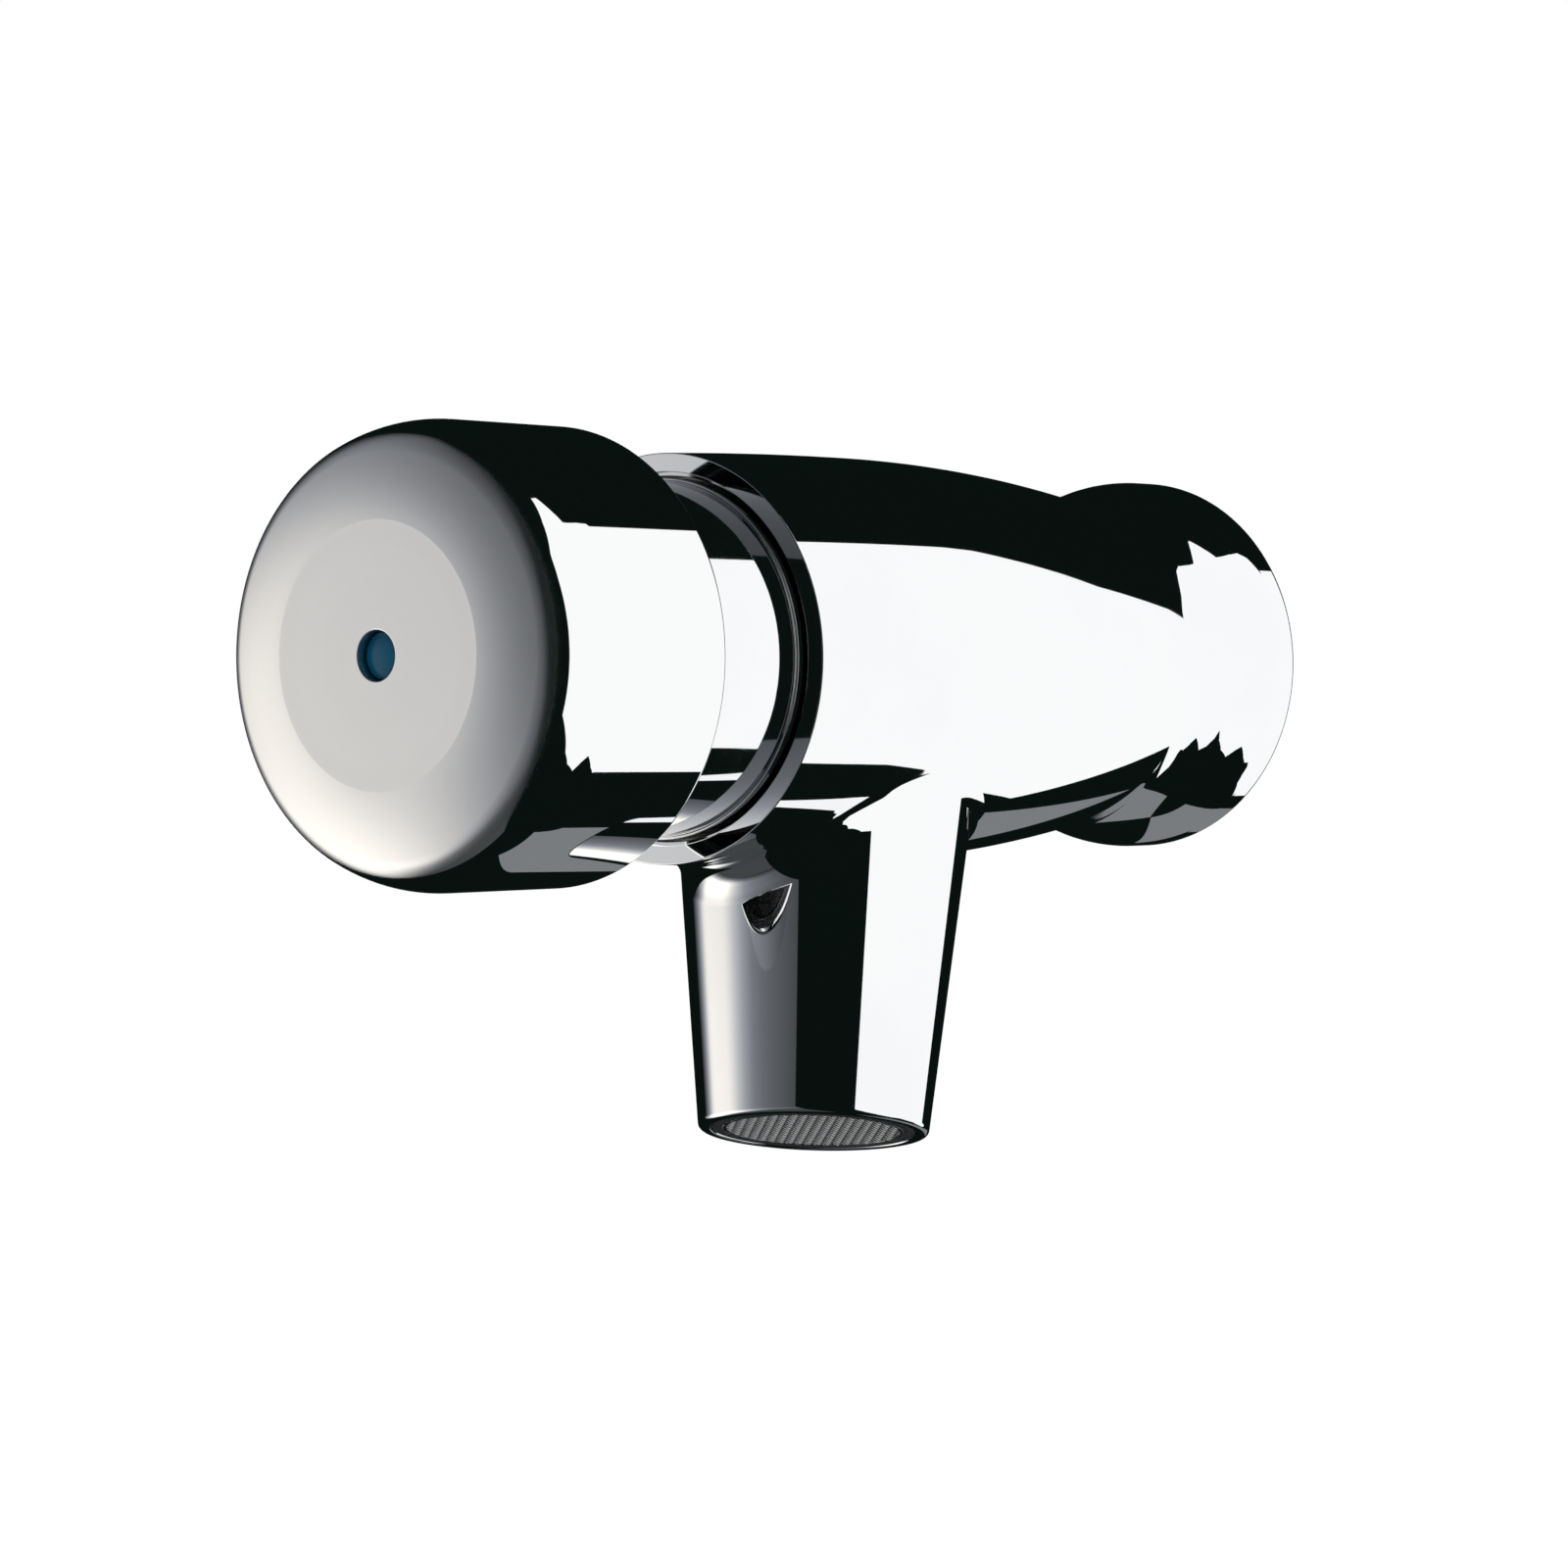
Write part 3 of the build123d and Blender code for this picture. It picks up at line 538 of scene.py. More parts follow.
def holed_band(skin, wall, start, end, branch_at, slot=0):
    """Adds a turned band of a wall with a branch's hole in its underside, and returns the branch.

    The hole stands in a window of the band, whose edge is joined to it by a fan of quads.
    """
    distances = np.linspace(start, end, BAND_ROWS + 1)
    angles, steps = skin.angles, len(skin.angles)
    half_window = round(steps * BAND_WINDOW)
    outer = np.arange(half_window, steps - half_window + 1) % steps
    radius, lengthwise, outward = (values[:, None] for values in wall.section(distances))
    skin.patch(
        TAP_AXLE.place(distances[:, None], radius, angles[outer]),
        TAP_AXLE.lean(lengthwise, outward, angles[outer]),
        closed=False,
        slot=slot,
    )
    window = np.arange(-half_window, half_window + 1) * 2 * pi / steps
    edge_distance = np.concatenate([
        np.full(len(window) - 1, distances[0]), distances[:-1],
        np.full(len(window) - 1, distances[-1]), distances[:0:-1],
    ])
    edge_angle = np.concatenate([
        window[:-1], np.full(BAND_ROWS, window[-1]),
        window[:0:-1], np.full(BAND_ROWS, window[0]),
    ])
    dense = branch_at(around(4 * len(edge_angle)))
    middle = (dense.foot.min() + dense.foot.max()) / 2
    width = float(wall.section(np.array(middle))[0])
    bearing = np.arctan2(dense.foot_angle * width, dense.foot - middle)
    wanted = np.arctan2(edge_angle * width, edge_distance - middle)
    order = np.argsort(bearing)
    sine = np.interp(wanted, bearing[order], np.sin(dense.angles)[order], period=2 * pi)
    cosine = np.interp(wanted, bearing[order], np.cos(dense.angles)[order], period=2 * pi)
    branch = branch_at(np.arctan2(sine, cosine))
    fan = np.linspace(0, 1, FAN_ROWS)[:, None]
    fan_distance = branch.foot + (edge_distance - branch.foot) * fan
    fan_angle = branch.foot_angle + (edge_angle - branch.foot_angle) * fan
    radius, lengthwise, outward = wall.section(fan_distance)
    skin.patch(
        TAP_AXLE.place(fan_distance, radius, fan_angle),
        TAP_AXLE.lean(lengthwise, outward, fan_angle),
        slot=slot,
    )
    return branch


def blend_patch(skin, branch, ball):
    """Adds the hollow blend that the rolling ball leaves between a wall and its branch."""
    first = (branch.foot_place - branch.centre) / ball
    last = (branch.contact - branch.centre) / ball
    swing = np.arccos((first * last).sum(axis=1))[:, None]
    mix = np.linspace(0, 1, BLEND_ROWS)[:, None, None]
    spoke = np.sin((1 - mix) * swing) * first + np.sin(mix * swing) * last
    spoke = spoke / np.sin(swing)
    skin.patch(branch.centre + spoke * ball, -spoke)


def thread_root(body):
    """Radius of the plain tail that the thread stands on."""
    return body.tail_radius - body.thread_depth - ROOT_GAP


def thread_surface(body, distance, angle):
    """Radius of the tail's pipe thread, relieved at the wall and bevelled at its end."""
    phase = distance / body.thread_pitch - angle / (2 * pi)
    offset = np.abs(phase - np.round(phase))  # in pitches, from the nearest crest
    steepness = body.thread_pitch / tan(THREAD_FLANK) * 2 / body.thread_depth
    flank, crest = (0.25 - offset) * steepness, 0.25 * steepness
    rounded = flank / (1 + np.abs(flank) ** THREAD_SHARPNESS) ** (1 / THREAD_SHARPNESS)
    rounded = rounded * (1 + crest**THREAD_SHARPNESS) ** (1 / THREAD_SHARPNESS) / crest
    radius = body.tail_radius - body.thread_depth * (1 - rounded) / 2
    bevel = np.minimum(np.maximum(0, -distance - THREAD_RELIEF), distance + body.tail_length)
    return np.minimum(radius, thread_root(body) + bevel)


def thread_patch(skin, body, slot):
    """Adds the tail's thread as a fine grid of true heights."""
    rows = int(body.tail_length / body.thread_pitch * THREAD_ROWS)
    distances = np.linspace(0, -body.tail_length, rows)
    distance, angle = np.meshgrid(distances, skin.angles, indexing="ij")
    radius = thread_surface(body, distance, angle)
    inner = np.clip(distance, NUDGE - body.tail_length, -NUDGE)
    slope = thread_surface(body, inner + NUDGE, angle) - thread_surface(body, inner - NUDGE, angle)
    swing = thread_surface(body, distance, angle + NUDGE) - radius
    normal = TAP_AXLE.lean(-slope / (2 * NUDGE), np.ones_like(radius), angle)
    normal -= TAP_AXLE.lean(0 * radius, swing / NUDGE / radius, angle + pi / 2)
    normal /= np.linalg.norm(normal, axis=-1, keepdims=True)
    skin.patch(TAP_AXLE.place(distance, radius, angle), normal, slot=slot)


def socket(group, name, direction, kind="NodeSocketFloat", default=None):
    """Adds a named socket to a node group."""
    made = group.interface.new_socket(name=name, in_out=direction, socket_type=kind)
    if default is not None:
        made.default_value = default


class Tree:
    """Short way to add and join shader nodes."""

    def __init__(self, tree):
        self.tree = tree

    def feed(self, target, value):
        """Joins an input to another node's output, or gives it a plain value."""
        if isinstance(value, bpy.types.NodeSocket):
            self.tree.links.new(value, target)
        else:
            target.default_value = value

    def node(self, kind, inputs=None, **settings):
        """Adds a node. An input is a value or another node's output."""
        made = self.tree.nodes.new(kind)
        for name, value in settings.items():
            setattr(made, name, value)
        for name, value in (inputs or {}).items():
            self.feed(made.inputs[name], value)
        return made

    def place(self):
        """Where a point stands on its piece."""
        return self.node("ShaderNodeTexCoord").outputs["Object"]

    def math(self, operation, first, second):
        """Adds a math node and returns its output."""
        inputs = {0: first, 1: second}
        return self.node("ShaderNodeMath", inputs, operation=operation).outputs[0]

    def length(self, vector):
        """Adds a node that measures a vector and returns its output."""
        return self.node("ShaderNodeVectorMath", {0: vector}, operation="LENGTH").outputs["Value"]

    def vector(self, operation, first, second, output=0):
        """Adds a vector math node and returns its output."""
        inputs = {0: first, 1: second}
        return self.node("ShaderNodeVectorMath", inputs, operation=operation).outputs[output]

    def noise(self, place, scale, detail=3.0, roughness=0.5):
        """Adds a noise texture and returns its value."""
        inputs = {"Vector": place, "Scale": scale, "Detail": detail, "Roughness": roughness}
        return self.node("ShaderNodeTexNoise", inputs).outputs["Fac"]

    def spread(self, value, low, high, to_low=0.0, to_high=1.0, smooth=False):
        """Maps a range of values to another, without going past its ends."""
        inputs = {"Value": value, "From Min": low, "From Max": high}
        inputs |= {"To Min": to_low, "To Max": to_high}
        kind = "SMOOTHSTEP" if smooth else "LINEAR"
        made = self.node("ShaderNodeMapRange", inputs, interpolation_type=kind)
        return made.outputs["Result"]

    def between(self, share_of_second, first, second):
        """Goes from one value to another as the share goes from 0 to 1."""
        return self.spread(share_of_second, 0.0, 1.0, first, second)

    def blend(self, share_of_second, first, second):
        """Mixes two colours and returns the result."""
        inputs = {0: share_of_second, 6: first, 7: second}
        return self.node("ShaderNodeMix", inputs, data_type="RGBA").outputs[2]

    def group(self, group, **inputs):
        """Places a node group. An input's name is written with underscores."""
        made = self.node("ShaderNodeGroup", node_tree=group)
        for name, value in inputs.items():
            self.feed(made.inputs[name.replace("_", " ").capitalize()], value)
        return made.outputs


def bare_tree(holder):
    """Tree of a material or a world, without the nodes that it starts with."""
    holder.use_nodes = True
    holder.node_tree.nodes.clear()
    return Tree(holder.node_tree)


def new_group(name):
    """A new shader node group with its input and output nodes."""
    group = bpy.data.node_groups.new(name, "ShaderNodeTree")
    return group, Tree(group), group.nodes.new("NodeGroupInput"), group.nodes.new("NodeGroupOutput")


def plating_group():
    """Thin bright plate: faint ripples of the polished metal below, and patches of haze."""
    group = bpy.data.node_groups.get("Plating film")
    if group:
        return group
    group, tree, given, result = new_group("Plating film")
    socket(group, "Ripple size", "INPUT", default=0.008)
    socket(group, "Clean roughness", "INPUT", default=0.01)
    socket(group, "Hazy roughness", "INPUT", default=0.04)
    socket(group, "Roughness", "OUTPUT")
    socket(group, "Height", "OUTPUT")
    socket(group, "Thin plate", "OUTPUT")
    peel_fineness, peel_share, haze_fineness = 9.0, 0.06, 0.35  # against the ripples
    place = tree.place()
    scale = tree.math("DIVIDE", 1.0, given.outputs["Ripple size"])
    ripple = tree.noise(place, scale, detail=1.0)
    peel = tree.noise(place, tree.math("MULTIPLY", scale, peel_fineness), detail=2.0)
    height = tree.math("ADD", ripple, tree.math("MULTIPLY", peel, peel_share))
    haze_scale = tree.math("MULTIPLY", scale, haze_fineness)
    haze = tree.noise(place, haze_scale, detail=5.0, roughness=0.65)
    haze = tree.spread(haze, 0.35, 0.75, smooth=True)
    roughness = tree.between(
        haze, given.outputs["Clean roughness"], given.outputs["Hazy roughness"]
    )
    group.links.new(roughness, result.inputs["Roughness"])
    group.links.new(height, result.inputs["Height"])
    group.links.new(haze, result.inputs["Thin plate"])
    return group


def turning_group():
    """Fine rings that a cutting tool leaves round the axis that a piece was turned about."""
    group = bpy.data.node_groups.get("Turning rings")
    if group:
        return group
    group, tree, given, result = new_group("Turning rings")
    socket(group, "Ring pitch", "INPUT", default=0.0003)
    socket(group, "Axis point", "INPUT", "NodeSocketVector")
    socket(group, "Axis direction", "INPUT", "NodeSocketVector", (0, -1, 0))
    socket(group, "Height", "OUTPUT")
    socket(group, "Streak", "OUTPUT")
    broad_fineness = 0.12  # against the rings
    offset = tree.vector("SUBTRACT", tree.place(), given.outputs["Axis point"])
    direction = given.outputs["Axis direction"]
    along = tree.vector("DOT_PRODUCT", offset, direction, output="Value")
    parallel = tree.node("ShaderNodeVectorMath", {0: direction, "Scale": along}, operation="SCALE")
    radial = tree.vector("SUBTRACT", offset, parallel.outputs[0])
    flat = tree.node("ShaderNodeCombineXYZ", {"X": tree.length(radial), "Y": along}).outputs[0]
    scale = tree.math("DIVIDE", 1.0, given.outputs["Ring pitch"])
    rings = tree.noise(flat, scale, detail=4.0, roughness=0.6)
    broad = tree.noise(flat, tree.math("MULTIPLY", scale, broad_fineness), detail=2.0)
    streak = tree.spread(tree.math("ADD", rings, broad), 0.7, 1.3)
    group.links.new(rings, result.inputs["Height"])
    group.links.new(streak, result.inputs["Streak"])
    return group


def moulding_group():
    """Fine uneven grain of a moulded surface, with slow shifts of tone."""
    group = bpy.data.node_groups.get("Moulded grain")
    if group:
        return group
    group, tree, given, result = new_group("Moulded grain")
    socket(group, "Grain size", "INPUT", default=0.0004)
    socket(group, "Height", "OUTPUT")
    socket(group, "Tone", "OUTPUT")
    tone_fineness = 0.08  # against the grain
    place = tree.place()
    scale = tree.math("DIVIDE", 1.0, given.outputs["Grain size"])
    grain = tree.noise(place, scale, detail=4.0, roughness=0.6)
    tone = tree.noise(place, tree.math("MULTIPLY", scale, tone_fineness), detail=3.0)
    group.links.new(grain, result.inputs["Height"])
    group.links.new(tree.spread(tone, 0.3, 0.7), result.inputs["Tone"])
    return group


def opaque(rgb, shade=1.0):
    """A property's colour as a shader wants it, made lighter or darker by shade."""
    return (*(min(1, channel * shade) for channel in rgb), 1)


def new_material(name, **values):
    """Tree and Principled shader of a new material. Plain values go on the shader itself."""
    material = bpy.data.materials.new(name)
    material.use_nodes = True
    shader = material.node_tree.nodes["Principled BSDF"]
    for socket_name, value in values.items():
        shader.inputs[socket_name.replace("_", " ")].default_value = value
    return Tree(material.node_tree), shader


def finish_material(tree, shader, base, roughness, height, depth):
    """Joins a material's colour, roughness and height to its shader."""
    bump = tree.node("ShaderNodeBump", {"Height": height, "Strength": 1.0, "Distance": depth})
    tree.feed(shader.inputs["Base Color"], base)
    tree.feed(shader.inputs["Roughness"], roughness)
    tree.feed(shader.inputs["Normal"], bump.outputs["Normal"])


def plating_film(tree, finishes, ripple_size, haze):
    """Places the plating film, whose hazy patches are rougher by this factor."""
    return tree.group(
        plating_group(),
        ripple_size=ripple_size,
        clean_roughness=finishes.chrome_roughness,
        hazy_roughness=finishes.chrome_roughness * haze,
    )


def kept(make):
    """Makes a material once and hands out the same one after that."""

    def once(finishes):
        name = make.__name__ + "_finish"  # the frame's own materials have the slots' bare names
        if name not in bpy.data.materials:
            make(finishes, name)
        return bpy.data.materials[name]

    return once


@kept
def polished_chrome(finishes, name):
    """Bright plate on polished casting."""
    tree, shader = new_material(name, Metallic=1)
    film = plating_film(tree, finishes, ripple_size=0.011, haze=2.2)
    base = tree.blend(film["Thin plate"], opaque(finishes.chrome), opaque(finishes.chrome_tint))
    finish_material(tree, shader, base, film["Roughness"], film["Height"], depth=3e-6)


@kept
def turned_chrome(finishes, name):
    """Bright plate on turned metal, with its rings just showing."""
    tree, shader = new_material(name, Metallic=1)
    film = plating_film(tree, finishes, ripple_size=0.009, haze=3)
    rings = tree.group(turning_group(), ring_pitch=0.0002)
    streak_roughness = 0.02
    base = tree.blend(film["Thin plate"], opaque(finishes.chrome), opaque(finishes.chrome_tint))
    streaks = tree.math("MULTIPLY", rings["Streak"], streak_roughness)
    roughness = tree.math("ADD", film["Roughness"], streaks)
    finish_material(tree, shader, base, roughness, rings["Height"], depth=4e-7)


@kept
def button_chrome(finishes, name):
    """Bright plate on the button's side that turns satin over its face."""
    tree, shader = new_material(name, Metallic=1)
    film = plating_film(tree, finishes, ripple_size=0.012, haze=2)
    rings = tree.group(turning_group(), ring_pitch=0.00022)
    split = tree.node("ShaderNodeSeparateXYZ", {0: tree.place()}).outputs
    flat = tree.node("ShaderNodeCombineXYZ", {"X": split["X"], "Z": split["Z"]}).outputs[0]
    edge, fade = bpy.context.scene.tap_button.satin_radius, 0.0003
    smoothest, roughest, polished_height = 0.93, 1.07, 0.02  # shares of the satin's own
    satin = tree.spread(tree.length(flat), edge - fade, edge + fade, 1.0, 0.0, smooth=True)
    grain = tree.between(
        rings["Streak"], finishes.satin_roughness * smoothest, finishes.satin_roughness * roughest
    )
    roughness = tree.between(satin, film["Roughness"], grain)
    base = tree.blend(satin, opaque(finishes.chrome), opaque(finishes.satin))
    height = tree.math("MULTIPLY", rings["Height"], tree.between(satin, polished_height, 1.0))
    finish_material(tree, shader, base, roughness, height, depth=3e-6)


@kept
def plated_casting(finishes, name):
    """Plate on machined faces and raw casting that nobody polished."""
    tree, shader = new_material(name, Metallic=1)
    rings = tree.group(turning_group(), ring_pitch=0.00035)
    grain = tree.group(moulding_group(), grain_size=0.0007)
    base = tree.blend(
        grain["Tone"], opaque(finishes.plated_casting), opaque(finishes.plated_casting, 0.8)
    )
    roughness = tree.between(rings["Streak"], 0.2, 0.34)
    height = tree.math("ADD", rings["Height"], grain["Height"])
    finish_material(tree, shader, base, roughness, height, depth=8e-6)


@kept
def dull_lining(finishes, name):
    """Thin dull plate inside the button, where the bath hardly reaches. Its colour is darkened as
    painted shade for the skirt's hollow.
    """
    tree, shader = new_material(name, Metallic=1)
    grain = tree.group(moulding_group(), grain_size=0.0006)
    # the dark base colour is painted shade; the grain only varies its tone
    base = tree.blend(grain["Tone"], opaque(finishes.lining), opaque(finishes.lining, 0.8))
    roughness = tree.between(grain["Tone"], 0.3, 0.42)
    finish_material(tree, shader, base, roughness, grain["Height"], depth=8e-6)


def plastic(name, rgb, grain_size, glossy, dull, depth, **values):
    """Moulded plastic or rubber whose grain has this size, depth and range of roughness."""
    tree, shader = new_material(name, **values)
    grain = tree.group(moulding_group(), grain_size=grain_size)
    base = tree.blend(grain["Tone"], opaque(rgb), opaque(rgb, 0.85))
    roughness = tree.between(grain["Tone"], glossy, dull)
    finish_material(tree, shader, base, roughness, grain["Height"], depth=depth)


@kept
def blue_plug(finishes, name):
    """Glossy coloured plug that marks cold water."""
    plastic(
        name, finishes.blue, grain_size=0.0009, glossy=0.2, dull=0.34, depth=8e-6,
        Coat_Weight=0.1, Coat_Roughness=0.12, Specular_IOR_Level=0.2,
    )


@kept
def black_acetal(finishes, name):
    """Hard black plastic of the guides, the piston and the limiter."""
    plastic(name, finishes.black_acetal, grain_size=0.0003, glossy=0.35, dull=0.5, depth=4e-6)


@kept
def grey_acetal(finishes, name):
    """Dark grey plastic of the sleeve and the flow straightener."""
    plastic(
        name, finishes.grey_acetal, grain_size=0.0003, glossy=0.3, dull=0.45, depth=4e-6,
        Specular_IOR_Level=0.12,
    )


@kept
def black_rubber(finishes, name):
    """Soft dull rubber of the seals."""
    plastic(name, finishes.rubber, grain_size=0.0002, glossy=0.55, dull=0.75, depth=8e-6)


def bare_metal(name, rgb, ring_pitch, glossy, dull, depth):
    """Turned or drawn metal whose rings have this pitch, depth and range of roughness."""
    tree, shader = new_material(name, Metallic=1)
    rings = tree.group(turning_group(), ring_pitch=ring_pitch)
    base = tree.blend(rings["Streak"], opaque(rgb), opaque(rgb, 0.86))
    roughness = tree.between(rings["Streak"], glossy, dull)
    finish_material(tree, shader, base, roughness, rings["Height"], depth=depth)


@kept
def bare_brass(finishes, name):
    """Brass of the seat, the cup and the nut."""
    bare_metal(name, finishes.brass, ring_pitch=0.0003, glossy=0.2, dull=0.34, depth=2e-6)


@kept
def stainless_steel(finishes, name):
    """Steel of the spring, the rods, the filter and the gauze."""
    bare_metal(name, finishes.steel, ring_pitch=0.0002, glossy=0.18, dull=0.3, depth=1e-6)


class PUSHTAP_OT_body(Operator):
    """Build the cast body with its barrel, rosette, spout, bores and threaded tail"""

    bl_idname = "pushtap.body"
    bl_label = "Cast Body"

    def execute(self, context):
        body, spout = context.scene.tap_body, context.scene.tap_spout
        finishes = context.scene.tap_finishes
        barrel = Barrel(body)
        axle = spout_axle(spout)
        taper = np.arctan((spout.root_radius - spout.tip_radius) / spout.length)
        band_front, band_rear = body.body_length - BAND_FRONT, body.bulge_distance - BAND_REAR
        mouth_front = body.body_length - body.lip_radius + body.lip_land + body.mouth_radius

        skin = Skin()
        self.add_lip(skin, body, barrel, mouth_front, band_front)
        branch = holed_band(
            skin, barrel, band_front, band_rear,
            lambda at: Branch(barrel, axle, spout.root_radius, taper, spout.blend, at),
        )
        blend_patch(skin, branch, spout.blend)
        self.add_rosette(skin, body, barrel, band_rear)
        inner = self.add_bores(skin, body, spout, axle, mouth_front)
        self.add_waterway(skin, spout, axle, inner, branch)
        self.add_cone(skin, spout, axle, branch, taper)

        piece = skin.piece("body_casting", [polished_chrome(finishes), plated_casting(finishes)])
        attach(piece, "body")
        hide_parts("tap_body")
        return {"FINISHED"}

    def add_lip(self, skin, body, barrel, start, end):
        """Adds the chamfer of the mouth, the flat lip and the barrel's front edge."""
        lip, edge, bevel = body.body_length, 0.00012, 0.0006
        skin.turn(
            Outline(start, body.mouth_radius)
            .line(lip, body.lip_radius - body.lip_land, corner=edge)
            .line(lip, body.lip_radius, corner=edge)
            .line(lip - bevel, float(barrel.section(lip - bevel)[0]))
            .line(end, float(barrel.section(end)[0]))
        )

    def add_rosette(self, skin, body, barrel, start):
        """Adds the neck, the rosette, its back pocket and the threaded tail."""
        radius, lengthwise, outward = barrel.section(start)
        pocket_radius, plated_depth = body.rim_radius - body.rim_wall, 0.0006
        rim_edge, pocket_edge, pocket_corner, boss_edge = 0.0011, 0.0003, 0.0008, 0.0004
        skin.turn(
            Outline(start, float(radius))
            .arc(
                body.neck_distance, body.neck_radius,
                heading=(-float(outward), float(lengthwise)), bits=16,
            )
            .arc(body.flare_distance, body.flare_radius, bits=8)
            .arc(body.rim_band, body.rim_radius, bits=8)
            .line(0, body.rim_radius, corner=rim_edge)
            .line(0, pocket_radius, corner=pocket_edge)
            .line(plated_depth, pocket_radius)
        )
        skin.turn(
            Outline(plated_depth, pocket_radius)
            .line(body.pocket_depth, pocket_radius, corner=pocket_corner)
            .line(body.pocket_depth, body.boss_radius, corner=pocket_corner)
            .line(0, body.boss_radius, corner=boss_edge)
            .line(0, thread_root(body)),
            slot=INNER,
        )
        thread_patch(skin, body, slot=INNER)

    def add_bores(self, skin, body, spout, axle, mouth_front):
        """Adds the bores from the tail to the mouth, and returns the waterway's inner branch."""
        tail_end, mouth_floor = -body.tail_length, body.body_length - body.mouth_depth
        filter_ledge, plug_floor = tail_end + FILTER_SEAT_DEPTH, -head_high.y - PLUG_ROOM
        chamber_radius, cup_radius = sleeve_high.x + SLEEVE_ROOM, cup_high.x + CUP_ROOM
        land_radius, land_rear = sleeve_high.x + SLEEVE_FIT, -cup_high.y
        land_front = -sleeve_high.y + SLEEVE_LAND
        skin.turn(
            Outline(tail_end, thread_root(body))
            .line(tail_end, FILTER_SEAT_RADIUS)
            .line(filter_ledge, FILTER_SEAT_RADIUS)
            .line(filter_ledge, FILTER_BORE)
            .line(PORT_REAR, FILTER_BORE)
            .line(PORT_REAR, PORT_RADIUS)
            .line(PORT_FRONT, PORT_RADIUS)
            .line(PORT_FRONT, cup_radius)
            .line(land_rear, cup_radius)
            .line(land_rear, land_radius)
            .line(land_front, land_radius)
            .line(land_front, chamber_radius),
            slot=INNER,
        )
        chamber = Bore(chamber_radius)
        inner = holed_band(
            skin, chamber, land_front, plug_floor,
            lambda at: Branch(chamber, axle, spout.passage_radius, 0, 0, at),
            slot=INNER,
        )
        skin.turn(
            Outline(plug_floor, chamber_radius)
            .line(plug_floor, PLUG_BORE)
            .line(mouth_floor, PLUG_BORE)
            .line(mouth_floor, body.mouth_radius)
            .line(mouth_front, body.mouth_radius),
            slot=INNER,
        )
        return inner

    def add_waterway(self, skin, spout, axle, inner, branch):
        """Adds the water's way down the spout and the straightener's pocket."""
        pocket_floor = spout.length - spout.pocket_depth
        waterway_end = pocket_floor - WATERWAY_STEP
        mix = np.linspace(0, 1, WATERWAY_ROWS)[:, None]
        swing = (branch.angles - inner.angles + pi) % (2 * pi) - pi
        angle = inner.angles + swing * mix
        run = inner.run + (waterway_end - inner.run) * mix
        skin.patch(
            axle.place(run, np.full_like(angle, spout.passage_radius), angle),
            axle.lean(0 * angle, 0 * angle - 1, angle),
            slot=INNER,
        )
        skin.turn(
            Outline(waterway_end, spout.passage_radius)
            .line(pocket_floor, spout.passage_radius)
            .line(pocket_floor, spout.pocket_radius)
            .line(spout.length - POCKET_EDGE, spout.pocket_radius),
            axle=axle,
            angles=branch.angles,
            slot=INNER,
        )

    def add_cone(self, skin, spout, axle, branch, taper):
        """Adds the outlet's rim and the spout's cone up to its blend."""
        top, inner_edge = spout.length - BRIGHT_PLATE, 0.00025
        skin.turn(
            Outline(spout.length - POCKET_EDGE, spout.pocket_radius)
            .line(spout.length, spout.pocket_radius, corner=inner_edge)
            .line(spout.length, spout.tip_radius, corner=spout.edge)
            .line(top, spout.root_radius - top * tan(taper)),
            axle=axle,
            angles=branch.angles,
        )
        run = top + (branch.run - top) * np.linspace(0, 1, CONE_ROWS)[:, None]
        skin.patch(
            axle.place(run, spout.root_radius - run * tan(taper), branch.angles),
            axle.lean(sin(taper), cos(taper), branch.angles + 0 * run),
        )


